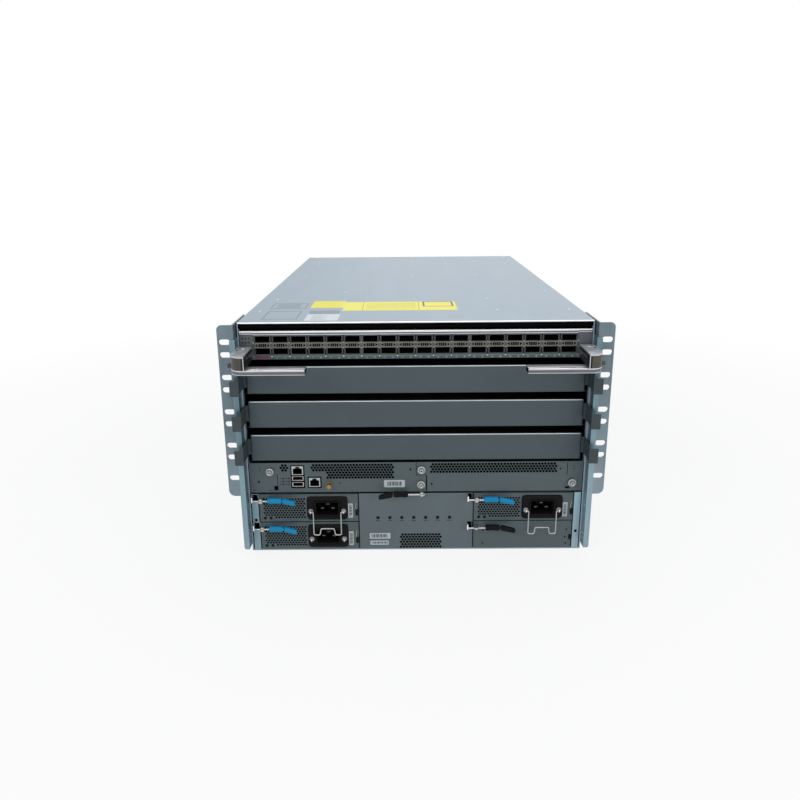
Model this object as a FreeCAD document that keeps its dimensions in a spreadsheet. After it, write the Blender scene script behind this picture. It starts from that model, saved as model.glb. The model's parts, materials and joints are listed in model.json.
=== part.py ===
import FreeCAD, Part
import Sketcher
import os
import re

# A seven-unit modular network chassis: a folded steel shell with four full-width card slots,
# two half-width supervisor slots, four power bays and a lamp panel at the front, and fan trays,
# fabric modules and system controllers at the rear.
# X runs to the right seen from the front, Y towards the rear and Z up, in millimetres.
# The origin is the middle of the underside, so the front plane (the cover's front edge) is half
# the depth ahead of it. Every y that the helpers take is measured back from that front plane.

doc = FreeCAD.newDocument("chassis_switch")
sheet = doc.addObject("Spreadsheet::Sheet", "Dims")

SIZES = {
    # shell and cover
    "body_width": 439.4,
    "body_height": 309.9,
    "body_depth": 750.0,
    "shell_sheet": 1.6,
    "cover_sheet": 1.2,
    "lip_height": 6.5,
    # rack ears and front columns
    "ear_reach": 21.6,
    "ear_sheet": 2.2,
    "ear_forward": 14.3,
    "ear_height": 224.0,
    "ear_side_depth": 58.0,
    "ear_top_corner": 6.0,
    "ear_foot_corner": 8.0,
    "rack_unit": 44.45,
    "hole_inset": 8.75,
    "hole_gap": 15.875,
    "top_hole_drop": 20.975,
    "ear_slot_length": 13.4,
    "ear_slot_radius": 3.5,
    "column_sheet": 1.6,
    "column_flange": 7.1,
    "column_foot": 9.6,
    "column_drop": 17.9,
    "column_side_depth": 40.0,
    "column_corner": 3.0,
    "column_hole": 4.0,
    # rows of bays, from the floor up
    "bay_gap": 0.3,
    "power_height": 39.0,
    "power_width": 130.0,
    "power_depth": 320.0,
    "power_shelf_sheet": 0.8,
    "shelf_sheet": 1.6,
    "supervisor_height": 41.0,
    "slot_gap": 9.5,
    "guide_sheet": 1.2,
    "guide_ledge": 7.9,
    "guide_depth": 432.0,
    "guide_setback": 8.0,
    "shelf_setback": 6.0,
    "divider_setback": 12.0,
    "flange_depth": 14.0,
    "rear_clearance": 4.0,
    "cut_margin": 1.0,
    "card_depth": 430.0,
    "face_sheet": 1.2,
    # boards, plugs and fabric modules deep inside
    "spine_sheet": 3.0,
    "plug_reach": 20.0,
    "power_plug_width": 48.0,
    "power_plug_foot": 10.0,
    "power_plug_height": 18.0,
    "control_plug_offset": 110.0,
    "control_plug_width": 60.0,
    "control_plug_foot": 8.0,
    "control_plug_height": 12.0,
    "control_plug_gap": 2.0,
    "fabric_pitch": 68.0,
    "fabric_plug_width": 14.0,
    "fabric_plug_length": 16.0,
    "fabric_plug_foot": 7.0,
    "fabric_plug_height": 20.0,
    "cooler_setback": 40.0,
    "cooler_foot": 50.0,
    "cooler_width": 18.0,
    "cooler_depth": 70.0,
    "cooler_height": 80.0,
    # the line card's tray, board and coolers
    "cap_depth": 7.0,
    "card_wall_drop": 4.0,
    "card_board_sheet": 2.0,
    "card_board_setback": 8.0,
    "card_plug_width": 28.0,
    "card_plug_depth": 34.0,
    "card_plug_height": 22.0,
    "standoff_reach": 180.0,
    "standoff_front": 100.0,
    "standoff_back": 60.0,
    "standoff_radius": 3.5,
    "fin_sheet": 2.0,
    "fin_pitch": 8.0,
    "fin_height": 20.0,
    "sink_base": 4.0,
    "sink_depth": 90.0,
    "sink_setback": 160.0,
    "sink_pitch": 122.0,
    "sink_shift": 28.0,
    # port cages of the line card
    "port_pitch": 22.26,
    "port_width": 18.0,
    "port_height": 7.7,
    "port_foot": 6.5,
    "port_strip": 7.4,
    "port_depth": 60.0,
    "cage_sheet": 0.6,
    "end_cap_width": 16.9,
    # card ejector levers
    "lever_width": 17.0,
    "lever_reach": 56.0,
    "lever_head_height": 16.5,
    "lever_arm_length": 88.0,
    "lever_arm_depth": 20.0,
    "lever_arm_height": 5.4,
    "lever_pin_radius": 2.5,
    "lever_pivot_inset": 7.5,
    "lever_pivot_reach": 34.0,
    "lever_heel": 3.0,
    "lever_heel_width": 5.0,
    "lever_end_corner": 3.0,
    "lever_drop": 0.4,
    "pivot_tongue_half": 5.5,
    "pivot_tongue_corner": 3.0,
    "pivot_tongue_foot": 4.6,
    "pivot_tongue_height": 6.8,
    "cheek_gap_front": 9.0,
    "lever_claw_reach": 7.0,
    "lever_claw_width": 8.0,
    "lever_claw_depth": 5.5,
    "lever_claw_height": 5.0,
    "pin_clearance": 0.05,
    "swing_gap": 0.5,
    # blanks
    "blank_inset": 7.1,
    "blank_corner": 2.4,
    "blank_depth": 60.0,
    "tab_drop": 5.2,
    "cheek_foot": 8.6,
    "cheek_drop": 14.6,
    "tab_reach": 28.6,
    "tab_width": 11.6,
    "tab_height": 19.6,
    # posts, dividers and centre panel
    "post_width": 8.5,
    "post_side_gap": 1.6,
    "post_depth": 12.0,
    "divider_sheet": 1.0,
    "lamp_radius": 1.6,
    "lamp_pitch": 15.8,
    # power-module front
    "inlet_width": 53.0,
    "inlet_height": 32.6,
    "inlet_inset": 14.0,
    "socket_width": 29.6,
    "socket_height": 18.0,
    "socket_depth": 22.0,
    "bail_span": 43.2,
    "bail_wire": 0.9,
    "bail_drop": 32.6,
    "bail_foot": 9.0,
    "bail_eye": 3.4,
    "bail_toe": 8.0,
    "bail_step": 1.5,
    "bail_reach": 7.0,
    "bail_boss": 2.4,
    "boss_root": 0.9,
    "inlet_depth": 26.0,
    "inlet_proud": 1.5,
    "socket_pin": 4.0,
    "socket_pin_length": 15.0,
    "socket_pin_thick": 2.0,
    "socket_pin_offset": 7.0,
    "socket_pin_foot": 5.0,
    "handle_sheet": 2.4,
    "grip_length": 38.0,
    "grip_height": 9.0,
    "claw_reach": 9.6,
    "claw_foot": 30.4,
    "claw_height": 7.4,
    "lever_pivot": 3.0,
    "handle_pin": 1.5,
    "handle_thick": 2.0,
    "handle_reach": 6.8,
    "handle_eye": 3.2,
    "handle_ear": 2.6,
    "ear_plate": 1.0,
    "claw_lap": 0.4,
    "claw_rise": 1.2,
    "claw_gap": 0.2,
    "claw_clearance": 1.0,
    "grip_near": 3.6,
    "grip_far": 10.6,
    "grip_tip_near": 15.0,
    "grip_tip_far": 20.5,
    "grip_tip_cut": 3.0,
    "power_grip_start": 9.0,
    "blank_grip_start": 12.0,
    "lamp_level": 47.0,
    "lamp_shift": 3.0,
    "lamp_proud": 0.5,
    "inlet_corner": 3.0,
    "fan_depth": 26.0,
    "fan_pitch": 40.0,
    # supervisor front
    "split_x": 6.7,
    "tongue_half": 6.4,
    "supervisor_depth": 318.0,
    "screw_radius": 5.0,
    "jack_width": 15.6,
    "tongue_level": 23.0,
    "supervisor_wall_drop": 3.0,
    "sleeve_length": 3.0,
    "screw_head": 5.0,
    "stack_inset": 54.0,
    "stack_height": 31.6,
    "jack_inset": 76.0,
    "jack_height": 15.8,
    "jack_slack": 0.2,
    "port_shelf_foot": 6.0,
    "port_shell_depth": 22.0,
    "port_shell_sheet": 1.3,
    "port_margin": 0.3,
    "coax_inset": 104.0,
    "coax_level": 11.0,
    "coax_nut_radius": 4.6,
    "coax_nut": 2.0,
    "coax_radius": 3.1,
    "coax_length": 7.0,
    "seam_inset": 36.0,
    "seam_width": 0.8,
    "seam_foot": 3.0,
    "seam_height": 22.5,
    "notch_width": 4.6,
    "notch_lap": 0.2,
    "notch_height": 6.0,
    "seat_radius": 3.0,
    "seat_height": 3.0,
    "seat_inset": 30.0,
    "seat_span": 150.0,
    "seat_setback": 60.0,
    "supervisor_board_inset": 6.0,
    "supervisor_board_sheet": 1.8,
    "supervisor_pivot_shift": 1.0,
    "supervisor_lever_reach": 5.0,
    "supervisor_grip_start": 18.0,
    "left_screw_inset": 27.0,
    "left_screw_level": 29.5,
    "split_screw_level": 10.5,
    "blank_screw_level": 31.0,
    "right_screw_inset": 13.5,
    "right_screw_level": 12.0,
    "blank_seam_inset": 20.6,
    "blank_seam_foot": 22.0,
    "blank_seam_drop": 24.0,
    "blank_notch_inset": 22.0,
    "blank_notch_width": 6.0,
    "blank_notch_height": 3.0,
    # rear
    "controller_width": 200.0,
    "controller_depth": 190.0,
    "tray_depth": 110.0,
    "rear_recess": 34.0,
    "fan_radius": 50.0,
    "fan_hub_radius": 20.0,
    "fan_gap": 1.5,
    "blade_half_sheet": 0.8,
    "tray_gap": 8.0,
    "tray_sheet": 1.5,
    "plate_lap": 2.0,
    "mouth_inset": 4.0,
    "motor_setback": 62.0,
    "motor_width": 28.0,
    "motor_depth": 10.0,
    "motor_arm_height": 8.0,
    "motor_arm_sheet": 3.0,
    "guard_width": 1.6,
    "rear_rise": 2.0,
    "controller_inset": 6.0,
    "controller_pull_width": 60.0,
    "controller_pull_foot": 30.0,
    "pull_width": 64.0,
    "pull_height": 8.0,
    "pull_post": 4.0,
    "pull_bar": 5.0,
    "pull_drop": 2.0,
}

for row, (name, value) in enumerate(SIZES.items(), start=1):
    sheet.set(f"A{row}", name)
    sheet.set(f"B{row}", str(value))
    sheet.setAlias(f"B{row}", name)
doc.recompute()


def size(name):
    """The number in the sheet's cell of that name."""
    return float(sheet.get(name))


def linked(formula):
    """The formula with each size's name pointing at its cell of the sheet."""
    return re.sub(r"\b([a-z][a-z0-9_]*)\b(?!\()", r"Dims.\1", formula)


def number(formula):
    """What the formula comes to with the sheet's present sizes."""
    return float(sheet.evalExpression(linked(formula)))


# ---- places that several pieces share, as formulas of the sizes ----

INNER = "(body_width/2 - shell_sheet)"
EAR_EDGE = "(body_width/2 + ear_reach)"
POST_OUT = f"({INNER} - post_side_gap)"
POST_IN = f"({POST_OUT} - post_width)"
POWER_OUT = f"({POST_IN} - 5*bay_gap)"
POWER_IN = f"({POWER_OUT} - power_width)"
DIVIDER_IN = f"({POWER_IN} - bay_gap - divider_sheet)"
PANEL_HALF = f"({DIVIDER_IN} - bay_gap)"

ROW_FLOOR = ["(shell_sheet + bay_gap)"]
POWER_SHELF = f"({ROW_FLOOR[0]} + power_height + bay_gap)"
ROW_FLOOR.append(f"({POWER_SHELF} + power_shelf_sheet + bay_gap)")
SUPERVISOR_SHELF = f"({ROW_FLOOR[1]} + power_height + 2*bay_gap)"
SUPERVISOR_FLOOR = f"({SUPERVISOR_SHELF} + shelf_sheet + 3*bay_gap)"
SLOT_SHELF = f"({SUPERVISOR_FLOOR} + supervisor_height + 2*bay_gap)"
SLOT_FLOOR = f"({SLOT_SHELF} + shelf_sheet + 2*bay_gap)"
COVER_UNDERSIDE = "(body_height - cover_sheet)"

SLOT_COUNT = 4
SLOT_PITCH = f"(({COVER_UNDERSIDE} - {SLOT_FLOOR})/{SLOT_COUNT})"
CARD_HEIGHT = f"({SLOT_PITCH} - slot_gap)"
CARD_FLOOR = [f"({SLOT_FLOOR} + {slot}*{SLOT_PITCH})" for slot in range(SLOT_COUNT)]
BOARD_Y = "(max(power_depth; supervisor_depth + control_plug_gap) + plug_reach)"
REAR_Y = "(body_depth - rear_recess)"


# ---- building blocks ----

def place(piece, x, y, z):
    """Moves a piece to a formula-driven place, with y measured back from the front plane."""
    piece.setExpression("Placement.Base.x", linked(x))
    piece.setExpression("Placement.Base.y", linked(f"{y} - body_depth/2"))
    piece.setExpression("Placement.Base.z", linked(z))


def box(name, x, y, z, width, depth, height):
    """A box from its low left front corner and its three sizes."""
    piece = doc.addObject("Part::Box", name)
    piece.setExpression("Length", linked(width))
    piece.setExpression("Width", linked(depth))
    piece.setExpression("Height", linked(height))
    place(piece, x, y, z)
    return piece


TURNED = {
    "x": FreeCAD.Rotation(FreeCAD.Vector(0, 1, 0), 90),
    "y": FreeCAD.Rotation(FreeCAD.Vector(1, 0, 0), -90),
    "z": FreeCAD.Rotation(),
}


def cylinder(name, axis, x, y, z, radius, length):
    """A cylinder that starts at a point and runs along one axis."""
    piece = doc.addObject("Part::Cylinder", name)
    piece.setExpression("Radius", linked(radius))
    piece.setExpression("Height", linked(length))
    piece.Placement = FreeCAD.Placement(FreeCAD.Vector(), TURNED[axis])
    place(piece, x, y, z)
    return piece


def prism(name, sides, axis, x, y, z, radius, length):
    """A prism inside a circle of the radius, which starts at a point and runs along one axis."""
    piece = doc.addObject("Part::Prism", name)
    piece.Polygon = sides
    piece.setExpression("Circumradius", linked(radius))
    piece.setExpression("Height", linked(length))
    piece.Placement = FreeCAD.Placement(FreeCAD.Vector(), TURNED[axis])
    place(piece, x, y, z)
    return piece


def together(name, pieces):
    """Separate solids kept in one group."""
    group = doc.addObject("Part::Compound", name)
    group.Links = pieces
    return group


def joined(name, pieces):
    """Pieces made into one solid."""
    fuse = doc.addObject("Part::MultiFuse", name)
    fuse.Shapes = pieces
    fuse.Refine = True
    return fuse


def carved(name, base, cutters):
    """A piece with the cutters taken out of it."""
    cut = doc.addObject("Part::Cut", name)
    cut.Base = base
    cut.Tool = cutters[0] if len(cutters) == 1 else together(name + "_cutters", cutters)
    return cut


def mirrored(name, source):
    """The same piece for the other side of the chassis."""
    copy = doc.addObject("Part::Mirroring", name)
    copy.Source = source
    copy.Normal = FreeCAD.Vector(1, 0, 0)
    copy.Base = FreeCAD.Vector(0, 0, 0)
    return copy


def new_sketch(body, plane, name):
    """An empty sketch on one of the body's own origin planes."""
    sketch = body.newObject("Sketcher::SketchObject", name)
    face = next(feature for feature in body.Origin.OriginFeatures if feature.Role == plane)
    sketch.AttachmentSupport = [(face, "")]
    sketch.MapMode = "FlatFace"
    return sketch


def draw_outline(sketch, corners):
    """A closed run of straight lines whose corners sit at formula-driven places."""
    points = [FreeCAD.Vector(number(u), number(v), 0) for u, v in corners]
    count = len(points)
    first = sketch.GeometryCount
    for index, point in enumerate(points):
        sketch.addGeometry(Part.LineSegment(point, points[(index + 1) % count]))
    for index in range(count):
        following = first + (index + 1) % count
        sketch.addConstraint(Sketcher.Constraint("Coincident", first + index, 2, following, 1))
    for index, formulas in enumerate(corners):
        reach = (points[index].x, points[index].y)
        for kind, formula, length in zip(("DistanceX", "DistanceY"), formulas, reach):
            rule = Sketcher.Constraint(kind, -1, 1, first + index, 1, length)
            constraint = sketch.addConstraint(rule)
            sketch.setExpression(f"Constraints[{constraint}]", linked(formula))


def padded(name, plane, corners, length):
    """A body padded from an outline: up from XY_Plane, back from XZ_Plane, right from YZ_Plane."""
    body = doc.addObject("PartDesign::Body", name)
    sketch = new_sketch(body, plane, name + "_outline")
    draw_outline(sketch, corners)
    pad = body.newObject("PartDesign::Pad", name + "_pad")
    pad.Profile = sketch
    pad.Reversed = plane == "XZ_Plane"
    pad.setExpression("Length", linked(length))
    sketch.Visibility = False
    return body


def rounded(body, name, radius, picked):
    """Fillets the edges of the body that the test picks."""
    doc.recompute()
    tip = body.Tip
    edges = enumerate(tip.Shape.Edges, start=1)
    names = [f"Edge{index}" for index, edge in edges if picked(edge)]
    fillet = body.newObject("PartDesign::Fillet", name)
    fillet.Base = (tip, names)
    fillet.setExpression("Radius", linked(radius))
    body.Tip = fillet


def near(value, target):
    """Whether two lengths agree."""
    return abs(value - target) < 0.001


def runs_along(edge, axis):
    """Whether a straight edge runs along the axis 0, 1 or 2."""
    first, last = edge.Vertexes[0].Point, edge.Vertexes[-1].Point
    moved = [abs(last[step] - first[step]) > 0.001 for step in range(3)]
    return moved == [step == axis for step in range(3)]


nodes = []


def node(piece, label):
    """Gives a finished sub-part its name and lists it for export."""
    piece.Label = label
    nodes.append(piece)
    return piece


# ---- shell, cover and rear frame ----

def build_shell():
    wall = "body_width/2"
    corners = [
        (f"0 - {wall}", "0"), (wall, "0"), (wall, COVER_UNDERSIDE), (INNER, COVER_UNDERSIDE),
        (INNER, "shell_sheet"), (f"0 - {INNER}", "shell_sheet"),
        (f"0 - {INNER}", COVER_UNDERSIDE), (f"0 - {wall}", COVER_UNDERSIDE),
    ]
    shell = padded("shell", "XZ_Plane", corners, "body_depth")
    place(shell, "0", "0", "0")
    node(shell, "chassis_shell")

    lip_half = f"({INNER} - bay_gap)"
    top = box("cover_top", "0 - body_width/2", "0", COVER_UNDERSIDE,
              "body_width", "body_depth", "cover_sheet")
    lip = box("cover_lip", f"0 - {lip_half}", "0", f"{COVER_UNDERSIDE} - lip_height",
              f"2*{lip_half}", "cover_sheet", "lip_height")
    node(joined("cover", [top, lip]), "top_cover")


# ---- rack ears and front columns ----

def ear_slots(side_x):
    """Nine mounting slots down an ear, on the rack's repeating pitch."""
    cutters = []
    drops = [f"{unit}*rack_unit" for unit in range(5)]
    drops += [f"{unit}*rack_unit + hole_gap" for unit in range(4)]
    straight = "(ear_slot_length - 2*ear_slot_radius)"
    for drop in drops:
        height = f"body_height - top_hole_drop - ({drop})"
        front = "0 - ear_forward - ear_sheet"
        middle = box("slot_middle", f"{side_x} - {straight}/2", front, f"{height} - ear_slot_radius",
                     straight, "3*ear_sheet", "2*ear_slot_radius")
        ends = []
        for sign in ("-", "+"):
            ends.append(cylinder("slot_end", "y", f"{side_x} {sign} {straight}/2", front, height,
                                 "ear_slot_radius", "3*ear_sheet"))
        cutters.append(joined("ear_slot", [middle] + ends))
    return cutters


def build_ears():
    outside = EAR_EDGE
    inside = "(body_width/2 + column_sheet)"
    corners = [
        (f"0 - {outside}", "0 - ear_forward"), (f"0 - {inside}", "0 - ear_forward"),
        (f"0 - {inside}", "ear_side_depth"), (f"0 - {inside} - ear_sheet", "ear_side_depth"),
        (f"0 - {inside} - ear_sheet", "ear_sheet - ear_forward"),
        (f"0 - {outside}", "ear_sheet - ear_forward"),
    ]
    ear = padded("ear", "XY_Plane", corners, "ear_height")
    edge_x = number(f"0 - {outside}")
    top = number("ear_height")
    rounded(ear, "ear_top_round", "ear_top_corner",
            lambda edge: runs_along(edge, 1) and near(edge.CenterOfMass.x, edge_x)
            and near(edge.CenterOfMass.z, top))
    rounded(ear, "ear_foot_round", "ear_foot_corner",
            lambda edge: runs_along(edge, 1) and near(edge.CenterOfMass.x, edge_x)
            and near(edge.CenterOfMass.z, 0))
    place(ear, "0", "0", "body_height - ear_height")
    left = carved("ear_left", ear, ear_slots(f"hole_inset - {EAR_EDGE}"))
    node(left, "rack_bracket_left")
    node(mirrored("ear_right", left), "rack_bracket_right")

    wall = "body_width/2"
    front = "(ear_forward + column_sheet)"
    corners = [
        (f"0 - {wall} - column_flange", f"0 - {front}"), (f"0 - {wall}", f"0 - {front}"),
        (f"0 - {wall}", "column_side_depth"), (f"0 - {wall} - column_sheet", "column_side_depth"),
        (f"0 - {wall} - column_sheet", "0 - ear_forward"),
        (f"0 - {wall} - column_flange", "0 - ear_forward"),
    ]
    column = padded("column", "XY_Plane", corners, "body_height - column_drop - column_foot")
    edge_x = number(f"0 - {wall} - column_flange")
    rounded(column, "column_rounds", "column_corner",
            lambda edge: runs_along(edge, 1) and near(edge.CenterOfMass.x, edge_x))
    place(column, "0", "0", "column_foot")
    holes = []
    for step in (2, 4, 14):
        holes.append(box("column_hole", f"0 - {wall} - 2*column_sheet",
                         "0 - ear_forward/2 - column_hole/2", f"column_foot + {step}*column_hole",
                         "3*column_sheet", "column_hole", "column_hole"))
    left = carved("column_left", column, holes)
    node(left, "front_column_left")
    node(mirrored("column_right", left), "front_column_right")


# ---- shelves, guides, dividers and posts inside the front ----

def build_partitions():
    full = f"2*{INNER}"
    node(box("supervisor_shelf", f"0 - {INNER}", "shelf_setback", SUPERVISOR_SHELF,
             full, f"{BOARD_Y} - shelf_setback", "shelf_sheet"), "supervisor_shelf")
    node(box("slot_shelf", f"0 - {INNER}", "shelf_setback", SLOT_SHELF, full,
             f"{REAR_Y} - tray_depth - rear_clearance - shelf_setback", "shelf_sheet"), "slot_shelf")

    guides = []
    for side in (-1, 1):
        plate_x = f"{INNER} - guide_sheet" if side > 0 else f"0 - {INNER}"
        ledge_x = f"{INNER} - guide_sheet - guide_ledge" if side > 0 else f"guide_sheet - {INNER}"
        floor = f"{SLOT_SHELF} + shelf_sheet"
        plate = box("guide_plate", plate_x, "guide_setback", floor, "guide_sheet",
                    "guide_depth - guide_setback", f"{COVER_UNDERSIDE} - ({floor})")
        ledges = []
        for slot in range(1, SLOT_COUNT):
            ledges.append(box("guide_ledge", ledge_x, "guide_setback",
                              f"{CARD_FLOOR[slot]} - bay_gap/2 - guide_sheet",
                              "guide_ledge", "guide_depth - guide_setback", "guide_sheet"))
        guides.append(joined("guide", [plate] + ledges))
    node(together("guides", guides), "card_guides")

    sheets = []
    divider_height = f"{SUPERVISOR_SHELF} - shell_sheet"
    for side in (-1, 1):
        x = DIVIDER_IN if side > 0 else f"0 - {DIVIDER_IN} - divider_sheet"
        sheets.append(box("power_divider", x, "2*divider_sheet", "shell_sheet", "divider_sheet",
                          f"{BOARD_Y} - 2*divider_sheet", divider_height))
        shelf_x = f"{POWER_IN} - bay_gap" if side > 0 else f"0 - {INNER}"
        sheets.append(box("power_shelf", shelf_x, "flange_depth", POWER_SHELF,
                          f"{INNER} - {POWER_IN} + bay_gap", f"{BOARD_Y} - flange_depth",
                          "power_shelf_sheet"))
    sheets.append(box("supervisor_divider", "split_x - divider_sheet/2", "divider_setback",
                      f"{SUPERVISOR_SHELF} + shelf_sheet", "divider_sheet",
                      f"{BOARD_Y} - divider_setback",
                      f"{SLOT_SHELF} - {SUPERVISOR_SHELF} - shelf_sheet"))
    node(together("partitions", sheets), "bay_partitions")

    corners = [
        (f"0 - {POST_OUT}", "0"), (f"0 - {POST_IN}", "0"), (f"0 - {POST_IN}", "post_depth"),
        (f"0 - {POST_IN} - face_sheet", "post_depth"), (f"0 - {POST_IN} - face_sheet", "face_sheet"),
        (f"face_sheet - {POST_OUT}", "face_sheet"), (f"face_sheet - {POST_OUT}", "post_depth"),
        (f"0 - {POST_OUT}", "post_depth"),
    ]
    post = padded("post", "XY_Plane", corners, f"{SUPERVISOR_SHELF} - shell_sheet")
    place(post, "0", "0", "shell_sheet")
    windows = [claw_window(f"(0 - {POWER_OUT})", floor) for floor in ROW_FLOOR]
    left = carved("post_left", post, windows)
    right = mirrored("post_right", post)
    node(together("posts", [left, right]), "bay_posts")


def claw_window(module_x, floor):
    """The gap that a power lever's claw swings into, open towards the module's left edge."""
    return box("claw_window", f"{module_x} - claw_reach + face_sheet", "0 - cut_margin",
               f"{floor} + claw_foot - claw_clearance", "claw_reach", "5*face_sheet",
               "claw_height + 2*claw_clearance")


# ---- centre lamp panel ----

LAMP_COUNT = 7


def build_centre_panel():
    corners = [
        (f"0 - {PANEL_HALF}", "0"), (PANEL_HALF, "0"), (PANEL_HALF, "flange_depth"),
        (f"{PANEL_HALF} - face_sheet", "flange_depth"), (f"{PANEL_HALF} - face_sheet", "face_sheet"),
        (f"face_sheet - {PANEL_HALF}", "face_sheet"), (f"face_sheet - {PANEL_HALF}", "flange_depth"),
        (f"0 - {PANEL_HALF}", "flange_depth"),
    ]
    panel = padded("panel", "XY_Plane", corners, f"{SUPERVISOR_SHELF} - shell_sheet")
    place(panel, "0", "0", "shell_sheet")
    windows = [claw_window(POWER_IN, floor) for floor in ROW_FLOOR]
    node(carved("centre", panel, windows), "centre_panel")
    lamps = []
    for lamp in range(LAMP_COUNT):
        x = f"{lamp - (LAMP_COUNT - 1)/2}*lamp_pitch - lamp_shift"
        lamps.append(prism("lamp", 6, "y", x, "0 - lamp_proud", "lamp_level", "lamp_radius",
                           "lamp_proud"))
    node(together("lamps", lamps), "panel_lamps")


# ---- boards and fabric modules deep inside ----

FABRIC_COUNT = 6


def build_inner_boards():
    board = box("spine_plate", f"0 - {INNER}", BOARD_Y, "shell_sheet", f"2*{INNER}",
                "spine_sheet", f"{SLOT_SHELF} - shell_sheet")
    plugs = [board]
    for x in (f"0 - {POWER_OUT} + power_width/2", f"{POWER_IN} + power_width/2"):
        for floor in ROW_FLOOR:
            plugs.append(box("power_plug", f"{x} - power_plug_width/2", "power_depth + bay_gap",
                             f"{floor} + power_plug_foot", "power_plug_width",
                             f"{BOARD_Y} - power_depth - bay_gap", "power_plug_height"))
    start = "(supervisor_depth + control_plug_gap + bay_gap)"
    for x in ("split_x - control_plug_offset", "split_x + control_plug_offset"):
        plugs.append(box("control_plug", f"{x} - control_plug_width/2", start,
                         f"{SUPERVISOR_FLOOR} + control_plug_foot", "control_plug_width",
                         f"{BOARD_Y} - {start}", "control_plug_height"))
    node(joined("board", plugs), "service_board")

    modules = []
    start = "(card_depth + fabric_plug_length)"
    stop = f"({REAR_Y} - tray_depth - rear_clearance)"
    for module in range(FABRIC_COUNT):
        x = f"({module - (FABRIC_COUNT - 1)/2})*fabric_pitch"
        floor = f"{SLOT_SHELF} + shelf_sheet"
        plate = box("fabric_plate", x, start, floor, "shell_sheet", f"{stop} - {start}",
                    f"{COVER_UNDERSIDE} - ({floor})")
        pieces = [plate]
        for slot in range(SLOT_COUNT):
            pieces.append(box("fabric_plug", f"{x} - fabric_plug_width/2", "card_depth + bay_gap",
                              f"{CARD_FLOOR[slot]} + fabric_plug_foot", "fabric_plug_width",
                              "fabric_plug_length - bay_gap", "fabric_plug_height"))
        pieces.append(box("fabric_cooler", f"{x} + shell_sheet", f"{start} + cooler_setback",
                          f"{floor} + cooler_foot", "cooler_width", "cooler_depth",
                          "cooler_height"))
        modules += pieces
    node(together("fabrics", modules), "fabric_modules")


# ---- line card ----

GANGS = 3
GANG_COLUMNS = 6
PORT_COLUMNS = GANGS*GANG_COLUMNS
FACE_HALF = f"({PORT_COLUMNS}*port_pitch/2)"
SINK_FINS = 6


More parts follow.
